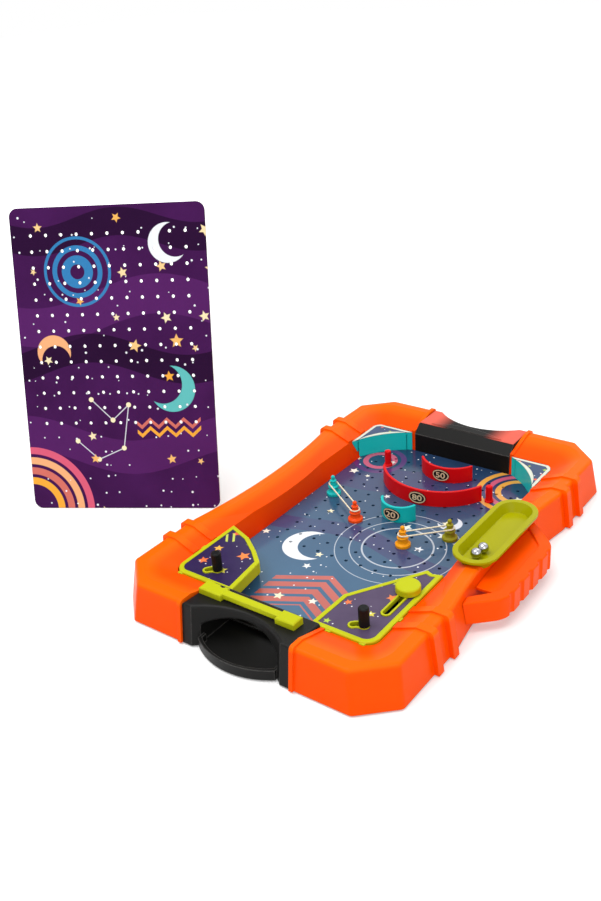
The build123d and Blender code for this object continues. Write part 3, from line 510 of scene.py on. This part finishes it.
def cornerFinish():
    look = cornerLook
    finish = Finish("tealCorner")
    finish.grain(*look["grain"])
    cloud = finish.noise(*look["cloud"])
    _, _, z = finish.split(finish.place())
    body = finish.blend(look["wall"], look["drift"], cloud)
    pale = (z > look["edgeLow"]) * (look["edgeShow"] + cloud * look["edgeDrift"])
    return finish.set({
        "Base Color": finish.blend(body, look["edge"], pale),
        "Roughness": look["rough"] + cloud * look["roughDrift"],
        "Specular IOR Level": look["shine"],
    })


finishes["corner"] = cornerFinish()
finishes["housing"] = housingFinish("blackHousing", False, 0.14)
# the far housing carries the painted reflection of the orange shell
finishes["farHousing"] = housingFinish("farHousing", True, 0.1)

# glossy laminate over the ink
laminateLook = {
    "edge": 0.0004,
    "ripple": (90, 2, (1, 2.6, 1)),
    "deep": 0.0003,
    "strength": 0.12,
    "roughDrift": 0.08,
}


def laminate(finish, colour, rough, shine):
    look = laminateLook
    ripple = finish.noise(*look["ripple"])
    finish.bump(ripple, look["deep"], look["strength"], finish.rounded(look["edge"]))
    return finish.set({
        "Base Color": colour,
        "Roughness": rough + ripple * look["roughDrift"],
        "Specular IOR Level": shine,
    })


# inks of both boards
boardInk = {
    "night": ink(32, 54, 86),
    "steel": ink(66, 108, 140),
    "dusk": ink(60, 44, 98),
    "cream": ink(244, 232, 190),
    "chalk": ink(232, 236, 242),
    "coral": ink(206, 110, 98),
    "rust": ink(170, 84, 78),
    "amber": ink(240, 168, 60),
    "rose": ink(214, 92, 120),
    "violet": ink(78, 30, 92),
    "plum": ink(46, 13, 55),
    "deep": ink(30, 9, 37),
    "orchid": ink(95, 39, 108),
    "teal": ink(96, 188, 186),
    "blue": ink(52, 130, 186),
    "peach": ink(238, 172, 122),
    "card": ink(206, 202, 194),
    "cardDark": ink(182, 177, 168),
}


# prints motifs over a ground, each with its ink, its strength and the sizes its method takes
# two inks are mixed by chance in stars and by the cloud elsewhere, and "cloud" fades a motif by it
def layPrint(finish, spot, colour, cloud, inks, layers):
    for motif, hue, strength, sizes in layers:
        mask, chance = getattr(finish, motif)(spot, *sizes), cloud
        if motif == "stars":
            mask, chance = mask
        tone = inks[hue] if isinstance(hue, str) else finish.blend(inks[hue[0]], inks[hue[1]], chance)
        if strength != 1:
            mask = mask * (cloud if strength == "cloud" else strength)
        colour = finish.blend(colour, tone, mask)
    return colour


# the installed board: a night-blue field, printed in this order
fieldLook = {
    "middle": (0, 0.0107, 0.009),
    "ground": ("steel", "night"),
    "fall": (-150, 160),
    "fallShare": 0.8,
    "cloud": (0.02, 4),
    "cloudShare": 0.4,
    "rough": 0.14,
    "shine": 0.5,
    "layers": [
        ("wave", "dusk", "cloud", (92, 14, 230, 0.6, 26)),
        ("wave", "dusk", "cloud", (-30, 10, 190, 2.2, 12)),
        ("chevrons", ("rust", "coral"), 1, (4, 0.55, 13, 10, 4.2, -118, 26, 46)),
        *[("ring", "chalk", 0.55, (30, -22, r, wide)) for r, wide in ((34, 1.6), (46, 1.0), (60, 0.8))],
        ("crescent", "chalk", 0.95, (-46, -62, 25, (0.42, 0.2))),
        ("crescent", "chalk", 0.8, (52, 40, 12, (-0.4, 0.3))),
        *[("ring", hue, 0.85, (84, 128, r, 6)) for r, hue in ((22, "amber"), (32, "rose"), (42, "amber"))],
        *[("ring", hue, 0.8, (-78, 118, r, 6)) for r, hue in ((16, "rose"), (26, "orchid"))],
        ("stars", ("cream", "chalk"), 1, (36, 4.6, 0.5)),
        ("dots", "chalk", 1, (13, 0.8, 0.35)),
    ],
}


def playfieldFinish():
    look = fieldLook
    finish = Finish("playfieldPrint")
    spot, _ = finish.flat(look["middle"])
    _, y, _ = finish.split(spot)
    cloud = finish.noise(*look["cloud"], where=spot)
    dark = finish.rise(y, *look["fall"]) * look["fallShare"] + cloud * look["cloudShare"]
    pale, deep = look["ground"]
    colour = finish.blend(boardInk[pale], boardInk[deep], dark)
    colour = layPrint(finish, spot, colour, cloud, boardInk, look["layers"])
    return laminate(finish, colour, look["rough"], look["shine"])


# dots joined by lines on the spare board
sparePath = ((-30, -40), (-8, -62), (10, -46), (2, -92), (-26, -104), (-48, -84))

# the spare board: a plum field printed in this order, on plain card
spareLook = {
    "foot": (-0.2668, -0.0778, 0),
    "turn": (math.radians(74.4), 0, math.radians(29.6)),
    "reach": 0.15725,
    "ground": ("plum", "violet"),
    "cloud": (0.016, 4),
    "fibre": (0.9, 4, (1, 0.3, 1)),
    "inkHeight": 1.8,
    "inkEdge": 0.1,
    "rough": 0.34,
    "shine": 0.04,
    "layers": [
        ("wave", "orchid", 0.55, (52, 16, 260, 0.4, 20)),
        ("wave", "deep", 0.8, (2, 12, 210, 2.4, 15)),
        ("wave", "orchid", 0.5, (-88, 14, 240, 4.4, 18)),
        ("wave", "deep", 0.75, (132, 9, 170, 1.2, 14)),
        *[("ring", hue, 1, (-102, -157, r, 7.5))
          for r, hue in ((30, "amber"), (41, "coral"), (52, "peach"), (63, "rose"))],
        *[("ring", "blue", 0.9, (-34, 92, r, wide)) for r, wide in ((12, 9), (24, 5), (34, 3))],
        ("crescent", "chalk", 1, (62, 118, 20, (0.4, 0.15))),
        ("crescent", "teal", 1, (58, -30, 24, (-0.42, 0.22))),
        ("crescent", "peach", 1, (-66, 10, 18, (0.1, -0.46))),
        *[("zigzag", hue, 1, (low, 18, 4, 0.9, 2.1, 52, 34))
          for low, hue in ((-70, "coral"), (-79, "amber"))],
        *[("segment", "chalk", 0.8, (start, stop, 1.0)) for start, stop in zip(sparePath, sparePath[1:])],
        *[("disc", "cream", 1, (x, y, 2.6)) for x, y in sparePath],
        ("stars", ("cream", "amber"), 1, (41, 5.2, 0.42)),
        ("dots", "chalk", 1, (15, 1.0, 0.4)),
    ],
}


def spareFinish():
    look = spareLook
    finish = Finish("sparePrint")
    spot, height = finish.flat(look["foot"], look["turn"])
    spot = finish.vector("SUBTRACT", spot, (0, look["reach"] / mm, 0))
    cloud = finish.noise(*look["cloud"], where=spot)
    pale, deep = look["ground"]
    colour = finish.blend(boardInk[pale], boardInk[deep], cloud)
    colour = layPrint(finish, spot, colour, cloud, boardInk, look["layers"])
    card = finish.blend(boardInk["card"], boardInk["cardDark"], finish.noise(*look["fibre"], where=spot))
    colour = finish.blend(card, colour, finish.step(height - look["inkHeight"], look["inkEdge"]))
    return laminate(finish, colour, look["rough"], look["shine"])


# small printed sheets on the panels and corners
sheetDots = ("dots", "chalk", 1, (9, 0.7, 0.3))
cornerSheet = {
    "ground": (ink(40, 58, 92), ink(62, 84, 118)),
    "stars": (14, 2.4, 0.5),
    "layers": [sheetDots, *[("ring", "chalk", 1, (0, 0, r, 1.3)) for r in (5, 9)]],
}
sheetLook = {
    "sheets": {
        "leftPrint": ("left_print", {
            "ground": (ink(36, 24, 66), ink(54, 40, 84)),
            "stars": (24, 5.2, 0.85),
            "layers": [sheetDots, ("stripes", "lime", 1, ((0.8, 0.6), 6.5, 2.5, 1.1, -21, 25, 7.5))],
        }),
        "leftCorner": ("left_corner_print", cornerSheet),
        "rightPrint": ("right_print", {
            "ground": (ink(70, 56, 84), ink(88, 74, 100)),
            "stars": (24, 3.8, 0.7),
            "layers": [sheetDots],
        }),
        "rightCorner": ("right_corner_print", cornerSheet),
    },
    "inks": {"lime": ink(192, 204, 92), "chalk": ink(232, 234, 240)},
    "cloud": (0.05, 3),
    "starJitter": 0.45,
    "starStops": [(0.0, ink(126, 196, 64)), (0.36, ink(236, 206, 84)), (0.7, ink(236, 98, 60))],
    "rough": 0.26,
    "shine": 0.2,
}


def sheetFinish(name, node, sheet):
    look = sheetLook
    finish = Finish(name)
    low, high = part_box(node)
    spot, _ = finish.flat((low + high) / 2)
    cloud = finish.noise(*look["cloud"], where=spot)
    colour = finish.blend(*sheet["ground"], cloud)
    shape, chance = finish.stars(spot, *sheet["stars"], look["starJitter"])
    tone = finish.add("ShaderNodeValToRGB", {"stops": look["starStops"]}, {0: chance})
    colour = finish.blend(colour, tone, shape)
    colour = layPrint(finish, spot, colour, cloud, look["inks"], sheet["layers"])
    return laminate(finish, colour, look["rough"], look["shine"])


finishes["playfield"] = playfieldFinish()
finishes["spare"] = spareFinish()
for name, (node, sheet) in sheetLook["sheets"].items():
    finishes[name] = sheetFinish(name, node, sheet)
print("printed finishes made")

# which finish each carried-over node shows
wear = {
    "orangeShell": ["front_case", "rear_case", "left_rail", "right_rail", "carry_handle"],
    "greyBase": ["base_plate"],
    "steel": ["case_screws", "pivot_screws", "launcher_screw", "launcher_spring"],
    "foot": ["rubber_feet"],
    "housing": ["front_housing"],
    "farHousing": ["rear_housing"],
    "blackLever": ["left_lever", "right_lever", "score_badges"],
    "limeTrim": ["crossbar", "left_panel", "right_panel", "launcher_knob", "launcher_plunger",
                 "left_flipper", "right_flipper"],
    "limeTray": ["ball_tray"],
    "redPeg": ["big_wall", "small_wall", "bumper_posts"],
    "vermilionPeg": ["red_cone"],
    "corner": ["left_corner", "right_corner"],
    "tealPeg": ["teal_cone", "round_wall"],
    "amberPeg": ["amber_cone"],
    "olivePeg": ["olive_cone"],
    "chrome": ["ball_1", "ball_2"],
    "leftPrint": ["left_print"],
    "rightPrint": ["right_print"],
    "leftCorner": ["left_corner_print"],
    "rightCorner": ["right_corner_print"],
    "playfield": ["playfield_board"],
    "spare": ["spare_board"],
    "band": ["left_band", "right_band"],
}
for finishName, names in wear.items():
    for name in names:
        nodes[name].data.materials.clear()
        nodes[name].data.materials.append(finishes[finishName].material)
print("finishes on the carried-over nodes")


def addObject(name, data):
    thing = bpy.data.objects.new(name, data)
    bpy.context.scene.collection.objects.link(thing)
    return thing


def seat(thing, body, slot, *replaced):
    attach(thing, body)
    if replaced:
        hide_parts(*replaced)


# an object as its modifiers leave it, as a plain mesh
def plainMesh(thing):
    bpy.context.view_layer.update()
    ready = thing.evaluated_get(bpy.context.evaluated_depsgraph_get())
    return bpy.data.meshes.new_from_object(ready)


# merges what lies together, turns the faces outward and fills the mesh
def closeMesh(made, mesh, weld=1e-7):
    bmesh.ops.remove_doubles(made, verts=made.verts, dist=weld)
    bmesh.ops.recalc_face_normals(made, faces=made.faces)
    made.to_mesh(mesh)
    made.free()
    return mesh


# a geometry node tree with named inputs: geometry first, then numbers, then the finish
class Grove:
    def __init__(self, name, numbers, counts=()):
        self.tree = bpy.data.node_groups.new(name, "GeometryNodeTree")
        face = self.tree.interface
        face.new_socket("Geometry", in_out="INPUT", socket_type="NodeSocketGeometry")
        for label in numbers:
            face.new_socket(label, in_out="INPUT", socket_type="NodeSocketFloat")
        for label in counts:
            face.new_socket(label, in_out="INPUT", socket_type="NodeSocketInt")
        face.new_socket("Finish", in_out="INPUT", socket_type="NodeSocketMaterial")
        face.new_socket("Geometry", in_out="OUTPUT", socket_type="NodeSocketGeometry")
        self.given = self.tree.nodes.new("NodeGroupInput").outputs

    def put(self, kind, inputs, settings=None):
        node = self.tree.nodes.new(kind)
        for name, value in (settings or {}).items():
            setattr(node, name, value)
        for key, value in inputs.items():
            socket = node.inputs[key]
            for one in value if isinstance(value, list) else [value]:
                if isinstance(one, bpy.types.NodeSocket):
                    self.tree.links.new(one, socket)
                else:
                    socket.default_value = one
        return node.outputs[0]

    def math(self, operation, first, second):
        return self.put("ShaderNodeMath", {0: first, 1: second}, {"operation": operation})

    # moves a geometry by the parts of a vector that are named
    def move(self, geometry, **parts):
        vector = self.put("ShaderNodeCombineXYZ", parts)
        return self.put("GeometryNodeTransform", {"Geometry": geometry, "Translation": vector})

    def cylinder(self, sides, radius, depth):
        return self.put("GeometryNodeMeshCylinder", {"Vertices": sides, "Radius": radius, "Depth": depth})

    def instances(self, points, shape):
        return self.put("GeometryNodeInstanceOnPoints", {"Points": points, "Instance": shape})

    def realized(self, geometry):
        return self.put("GeometryNodeRealizeInstances", {"Geometry": geometry})

    def cut(self, geometry, tools):
        settings = {"operation": "DIFFERENCE", "solver": "EXACT"}
        return self.put("GeometryNodeMeshBoolean", {0: geometry, 1: tools}, settings)

    def close(self, geometry):
        inputs = {"Geometry": self.realized(geometry), "Material": self.given["Finish"]}
        shown = self.put("GeometryNodeSetMaterial", inputs)
        self.tree.links.new(shown, self.tree.nodes.new("NodeGroupOutput").inputs[0])
        return self

    # runs the tree once on a mesh and gives back a plain mesh
    def grow(self, name, mesh, values, finish):
        blank = addObject(name + "Blank", mesh)
        step = blank.modifiers.new(name, "NODES")
        step.node_group = self.tree
        for item in self.tree.interface.items_tree:
            if item.in_out == "INPUT" and item.name in values:
                step[item.identifier] = values[item.name]
            if item.name == "Finish":
                step[item.identifier] = finish.material
        ready = plainMesh(blank)
        bpy.data.objects.remove(blank)
        return ready


# peg boards: a rounded slab and a node tree that drills its grid of holes
pegBoard = {
    "width": 0.204,
    "length": 0.3145,
    "thick": 0.002,
    "corner": 0.009,
    "cornerSteps": 6,
    "holeRadius": 0.0017,
    "holeSides": 18,
    "pitch": 0.0162,
    "columns": 11,
    "rows": 13,
    "rearInset": 0.02775,
    "drillDeep": 0.008,
}


def slabMesh(name):
    look = pegBoard
    corner = look["corner"]
    outline = []
    for k, (sx, sy) in enumerate(((1, 1), (-1, 1), (-1, -1), (1, -1))):
        middle = Vector((sx * (look["width"] / 2 - corner), sy * (look["length"] / 2 - corner)))
        for step in range(look["cornerSteps"] + 1):
            angle = math.radians(90 * (k + step / look["cornerSteps"]))
            outline.append(middle + corner * Vector((math.cos(angle), math.sin(angle))))
    made = bmesh.new()
    face = made.faces.new([made.verts.new((p.x, p.y, 0)) for p in outline])
    pushed = bmesh.ops.extrude_face_region(made, geom=[face])["geom"]
    top = [one for one in pushed if isinstance(one, bmesh.types.BMVert)]
    bmesh.ops.translate(made, vec=(0, 0, look["thick"]), verts=top)
    return closeMesh(made, bpy.data.meshes.new(name))


def drillTree():
    numbers = ("Hole Radius", "Pitch", "Grid Middle", "Depth")
    grove = Grove("drillHoles", numbers, ("Columns", "Rows", "Sides"))
    given = grove.given
    grid = {}
    for axis, count in (("X", "Columns"), ("Y", "Rows")):
        gaps = grove.math("SUBTRACT", given[count], 1.0)
        grid["Size " + axis] = grove.math("MULTIPLY", given["Pitch"], gaps)
        grid["Vertices " + axis] = given[count]
    points = grove.move(grove.put("GeometryNodeMeshGrid", grid), Y=given["Grid Middle"])
    drill = grove.cylinder(given["Sides"], given["Hole Radius"], given["Depth"])
    drills = grove.realized(grove.instances(points, drill))
    return grove.close(grove.cut(given["Geometry"], drills))


def pegBoardMesh(grove, finish, name):
    look = pegBoard
    gridTop = look["length"] / 2 - look["rearInset"]
    values = {
        "Hole Radius": look["holeRadius"],
        "Pitch": look["pitch"],
        "Grid Middle": gridTop - look["pitch"] * (look["rows"] - 1) / 2,
        "Depth": look["drillDeep"],
        "Columns": look["columns"],
        "Rows": look["rows"],
        "Sides": look["holeSides"],
    }
    return grove.grow(name, slabMesh(name), values, finish)


def addBoards():
    grove = drillTree()
    low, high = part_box("playfield_board")
    field = pegBoardMesh(grove, finishes["playfield"], "playfieldSheet")
    field.transform(Matrix.Translation((0, (low.y + high.y) / 2, low.z)))
    seat(addObject("playfieldSheet", field), "case", "printed_board", "playfield_board")
    spare = pegBoardMesh(grove, finishes["spare"], "spareSheet")
    lean, _, aside = spareLook["turn"]
    turned = Matrix.Rotation(aside, 4, "Z") @ Matrix.Rotation(lean, 4, "X")
    raised = Matrix.Translation((0, spareLook["reach"], 0))
    spare.transform(Matrix.Translation(spareLook["foot"]) @ turned @ raised)
    seat(addObject("spareSheet", spare), "spare_board", "printed_board", "spare_board")
    print("boards drilled:", len(field.polygons), "faces each")


addBoards()

# screws driven from below: a flat head with a cross recess and a plain shank
screwLook = {
    "sets": {
        "case_screws": {
            "body": "case",
            "spots": [(0.121, 0.1675), (-0.121, 0.1675), (0.121, -0.1675), (-0.121, -0.1675),
                      (0.118, 0), (-0.118, 0)],
            "head": 0.003,
            "headDeep": 0.0016,
        },
        "pivot_screws": {
            "body": "case",
            "spots": [(-0.068, -0.1645), (0.086, -0.1645)],
            "head": 0.00375,
            "headDeep": 0.0014,
        },
        "launcher_screw": {
            "body": "launcher",
            "spots": [(0.0925, -0.095)],
            "head": 0.003,
            "headDeep": 0.0016,
        },
    },
    "headSides": 24,
    "shank": 0.00145,
    "shankSides": 16,
    "slotWide": 0.0007,
    "slotShare": 1.3,
    "slotDeep": 0.0016,
}


def screwTree():
    numbers = ("Head Radius", "Head Deep", "Shank Radius", "Shank Length",
               "Slot Wide", "Slot Long", "Slot Deep")
    grove = Grove("setScrews", numbers, ("Head Sides", "Shank Sides"))
    given = grove.given
    headHalf = grove.math("MULTIPLY", given["Head Deep"], 0.5)
    shankHalf = grove.math("MULTIPLY", given["Shank Length"], 0.5)
    head = grove.cylinder(given["Head Sides"], given["Head Radius"], given["Head Deep"])
    head = grove.move(head, Z=headHalf)
    slots = []
    for wide, long in (("Slot Wide", "Slot Long"), ("Slot Long", "Slot Wide")):
        parts = {"X": given[wide], "Y": given[long], "Z": given["Slot Deep"]}
        slots.append(grove.put("GeometryNodeMeshCube", {"Size": grove.put("ShaderNodeCombineXYZ", parts)}))
    head = grove.cut(head, slots)
    shank = grove.cylinder(given["Shank Sides"], given["Shank Radius"], given["Shank Length"])
    shank = grove.move(shank, Z=grove.math("ADD", given["Head Deep"], shankHalf))
    screw = grove.put("GeometryNodeJoinGeometry", {"Geometry": [head, shank]})
    return grove.close(grove.instances(given["Geometry"], screw))


def addScrews():
    look = screwLook
    grove = screwTree()
    for node, batch in look["sets"].items():
        low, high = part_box(node)
        values = {
            "Head Radius": batch["head"],
            "Head Deep": batch["headDeep"],
            "Head Sides": look["headSides"],
            "Shank Radius": look["shank"],
            "Shank Length": high.z - low.z - batch["headDeep"],
            "Shank Sides": look["shankSides"],
            "Slot Wide": look["slotWide"],
            "Slot Long": batch["head"] * look["slotShare"],
            "Slot Deep": look["slotDeep"],
        }
        dots = bpy.data.meshes.new(node)
        dots.from_pydata([(x, y, low.z) for x, y in batch["spots"]], [], [])
        name = node.split("_")[0] + "ScrewSet"
        thing = addObject(name, grove.grow(name, dots, values, finishes["steel"]))
        seat(thing, batch["body"], "steel_screw", node)
    print("screws set:", len(look["sets"]), "batches")


addScrews()


# a round wire along a path of edges
def wireTree():
    grove = Grove("drawWire", ("Wire Radius",), ("Sides",))
    given = grove.given
    line = grove.put("GeometryNodeMeshToCurve", {"Mesh": given["Geometry"]})
    circle = {"Resolution": given["Sides"], "Radius": given["Wire Radius"]}
    profile = grove.put("GeometryNodeCurvePrimitiveCircle", circle)
    swept = {"Curve": line, "Profile Curve": profile, "Fill Caps": True}
    return grove.close(grove.put("GeometryNodeCurveToMesh", swept))


wireGrove = wireTree()


def wireMesh(name, points, look, closed, finish):
    path = bpy.data.meshes.new(name)
    edges = [(k, k + 1) for k in range(len(points) - 1)]
    if closed:
        edges.append((len(points) - 1, 0))
    path.from_pydata(points, edges, [])
    mesh = wireGrove.grow(name, path, {"Wire Radius": look["wire"], "Sides": look["sides"]}, finish)
    made = bmesh.new()
    made.from_mesh(mesh)
    closeMesh(made, mesh)
    for face in mesh.polygons:
        face.use_smooth = len(face.vertices) == 4  # the caps stay flat
    return mesh


# rubber bands stretched round the necks of two cones each
bandLook = {
    "wire": 0.00075,
    "sides": 12,
    "reach": 0.0044,
    "height": 0.02147,
    "steps": 12,
    "pairs": {"left_band": ("teal_cone", "red_cone"), "right_band": ("amber_cone", "olive_cone")},
}


def addBands():
    look = bandLook
    for band, cones in look["pairs"].items():
        ends = []
        for cone in cones:
            low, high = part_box(cone)
            ends.append((low + high) / 2)
        along = (ends[1] - ends[0]).to_2d().normalized()
        lead = math.atan2(along.y, along.x)
        points = []
        for end, turn in ((ends[1], 0), (ends[0], math.pi)):
            for step in range(look["steps"] + 1):
                angle = lead + turn - math.pi / 2 + math.pi * step / look["steps"]
                x = end.x + look["reach"] * math.cos(angle)
                y = end.y + look["reach"] * math.sin(angle)
                points.append((x, y, look["height"]))
        name = band.replace("_band", "BandLoop")
        loop = wireMesh(name, points, look, True, finishes["band"])
        seat(addObject(name, loop), "case", "band_rubber", band)
    print("rubber bands stretched")


addBands()

# launcher spring: a wire helix along the carried-over spring
springLook = {"wire": 0.0004, "sides": 8, "radius": 0.0031, "turns": 8, "steps": 20, "pull": 0.035}


def addSpring():
    look = springLook
    low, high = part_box("launcher_spring")
    middle = (low + high) / 2
    start = low.y + look["wire"]
    span = high.y - look["wire"] - start
    count = look["turns"] * look["steps"]
    points = []
    for k in range(count + 1):
        angle = math.tau * k / look["steps"]
        x = middle.x + look["radius"] * math.cos(angle)
        z = middle.z + look["radius"] * math.sin(angle)
        points.append((x, start + span * k / count, z))
    thing = addObject("springCoil", wireMesh("springCoil", points, look, False, finishes["steel"]))
    seat(thing, "case", "steel_screw", "launcher_spring")
    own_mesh(thing)
    print("spring wound:", look["turns"], "turns")


addSpring()

# score marks: a pale ring and plain numerals wrapped round each badge
scoreLook = {
    "walls": {
        "big_wall": {"middle": (0, 0.1299), "radius": 0.062, "aim": 275.0, "score": "80"},
        "small_wall": {"middle": (0, 0.1527), "radius": 0.033, "aim": 275.5, "score": "50"},
        "round_wall": {"middle": (0, 0.0463), "radius": 0.0195, "aim": 270.0, "score": "20"},
    },
    "inks": (ink(232, 206, 168), ink(222, 192, 150)),
    "proud": 0.00235,
    "height": 0.0175,
    "ringHalf": (0.0091, 0.0063),
    "ringWide": 0.0012,
    "ringSides": 48,
    "letter": 0.0088,
    "weight": 0.02,
    "stretch": 1.25,
    "cuts": 8,
    "cutStep": 0.0008,
    "depth": 0.00012,
    "weld": 1e-6,
}


# flat numerals about their own middle, cut across so that the strokes can bend with the badge
def numeralPart(text):
    look = scoreLook
    curve = bpy.data.curves.new("numeral", "FONT")
    curve.body = text
    curve.size = look["letter"]
    curve.align_x = "CENTER"
    curve.align_y = "CENTER"
    curve.offset = look["letter"] * look["weight"]
    curve.extrude = look["depth"] / 2
    thing = addObject("numeralText", curve)
    part = bmesh.new()
    part.from_mesh(plainMesh(thing))
    bpy.data.objects.remove(thing)
    xs = [v.co.x for v in part.verts]
    ys = [v.co.y for v in part.verts]
    shift = Vector(((min(xs) + max(xs)) / 2, (min(ys) + max(ys)) / 2, 0))
    for v in part.verts:
        v.co -= shift
        v.co.x *= look["stretch"]
    for k in range(-look["cuts"], look["cuts"] + 1):
        whole = part.verts[:] + part.edges[:] + part.faces[:]
        spot = (k * look["cutStep"], 0, 0)
        bmesh.ops.bisect_plane(part, geom=whole, plane_co=spot, plane_no=(1, 0, 0))
    return part


# a flat oval ring round the numerals
def addRing(part):
    look = scoreLook
    sides = look["ringSides"]
    wide, tall = look["ringHalf"]
    turns = [math.tau * k / sides for k in range(sides)]
    rows = []
    for inset in (look["ringWide"], 0):
        for z in (-look["depth"] / 2, look["depth"] / 2):
            spots = [((wide - inset) * math.cos(a), (tall - inset) * math.sin(a), z) for a in turns]
            rows.append([part.verts.new(spot) for spot in spots])
    for first, second in ((0, 1), (1, 3), (3, 2), (2, 0)):
        for k in range(sides):
            n = (k + 1) % sides
            part.faces.new((rows[first][k], rows[first][n], rows[second][n], rows[second][k]))


# bends a flat mark round its wall
def wrapMark(part, wall):
    look = scoreLook
    face = wall["radius"] + look["proud"]
    aim = math.radians(wall["aim"])
    x, y = wall["middle"]
    for v in part.verts:
        angle = aim + v.co.x / face
        reach = face + v.co.z
        v.co = (x + reach * math.cos(angle), y + reach * math.sin(angle), look["height"] + v.co.y)


def addScores():
    look = scoreLook
    made = bmesh.new()
    for wall in look["walls"].values():
        part = numeralPart(wall["score"])
        addRing(part)
        wrapMark(part, wall)
        mesh = bpy.data.meshes.new("scorePart")
        part.to_mesh(mesh)
        part.free()
        made.from_mesh(mesh)
        bpy.data.meshes.remove(mesh)
    mesh = closeMesh(made, bpy.data.meshes.new("scoreMarks"), look["weld"])
    mesh.materials.append(rubber("markInk", *look["inks"]).material)
    seat(addObject("scoreMarks", mesh), "case", "panel_print")
    print("score marks wrapped")


addScores()

# camera at the photograph's place
cameraLook = {
    "spot": (0.4602, -0.6878, 0.5312),
    "azimuth": 38.5,
    "elevation": 27.27,
    "roll": -4.51,
    "lens": 39.99,
    "sensor": 36,
    "near": 0.01,
}


def addCamera():
    look = cameraLook
    azimuth, elevation, roll = (math.radians(look[key]) for key in ("azimuth", "elevation", "roll"))
    level = math.cos(elevation)
    back = Vector((math.sin(azimuth) * level, -math.cos(azimuth) * level, math.sin(elevation)))
    right = Vector((math.cos(azimuth), math.sin(azimuth), 0))
    up = back.cross(right)
    across = right * math.cos(roll) + up * math.sin(roll)
    above = up * math.cos(roll) - right * math.sin(roll)
    lens = bpy.data.cameras.new("camera")
    lens.lens = look["lens"]
    lens.sensor_width = look["sensor"]
    lens.clip_start = look["near"]
    camera = addObject("camera", lens)
    turned = Matrix((across, above, back)).transposed().to_4x4()
    camera.matrix_world = Matrix.Translation(look["spot"]) @ turned
    bpy.context.scene.camera = camera


addCamera()

# pale floor, white surroundings and soft lamps
stageLook = {
    "floorSize": 12.0,
    "floorLow": -0.0002,
    "floor": (0.86, 0.86, 0.86, 1),
    "floorRough": 0.9,
    "floorGlow": 0.2,
    "glowFrom": 0.45,
    "glowTo": 1.5,
    "dark": (0, 0, 0, 1),
    "white": (1, 1, 1, 1),
    "skyLight": 0.55,
    "lamps": {
        "key": {"spot": (-0.45, -0.5, 2.1), "size": 1.5, "watts": 34},
        "side": {"spot": (1.5, -1.0, 1.2), "size": 1.4, "watts": 12},
        "far": {"spot": (0.1, 1.5, 1.5), "size": 1.4, "watts": 10},
    },
}


# the floor glows where it is seen, more with distance, so that it fades into the white
def addFloor():
    look = stageLook
    half = look["floorSize"] / 2
    low = look["floorLow"]
    mesh = bpy.data.meshes.new("floor")
    corners = [(-half, -half, low), (half, -half, low), (half, half, low), (-half, half, low)]
    mesh.from_pydata(corners, [], [(0, 1, 2, 3)])
    floor = addObject("floor", mesh)
    paper = Finish("palePaper")
    away = paper.rise(paper.vector("LENGTH", paper.place(), out="Value"), look["glowFrom"], look["glowTo"])
    glow = (away * (1 - look["floorGlow"]) + look["floorGlow"]) * paper.seen()
    paper.set({
        "Base Color": look["floor"],
        "Roughness": look["floorRough"],
        "Specular IOR Level": 0.0,
        "Emission Strength": 1.0,
        "Emission Color": paper.blend(look["dark"], look["white"], glow),
    })
    mesh.materials.append(paper.material)


# full white where it is seen, and a lower level for the light it gives
def addSurroundings():
    look = stageLook
    world = bpy.data.worlds.new("studio")
    bpy.context.scene.world = world
    world.use_nodes = True
    air = Shading(world.node_tree)
    sky = next(n for n in air.tree.nodes if n.type == "BACKGROUND")
    air.feed(sky.inputs["Color"], look["white"])
    air.feed(sky.inputs["Strength"], air.seen() * (1 - look["skyLight"]) + look["skyLight"])


def addLamps():
    for name, lamp in stageLook["lamps"].items():
        light = bpy.data.lights.new(name, "AREA")
        light.energy = lamp["watts"]
        light.size = lamp["size"]
        thing = addObject(name, light)
        thing.location = lamp["spot"]
        aim = Vector((0, 0, 0)) - thing.location
        thing.rotation_euler = aim.to_track_quat("-Z", "Y").to_euler()


addFloor()
addSurroundings()
addLamps()
bpy.context.scene.view_settings.view_transform = "Standard"
print("camera and stage ready")
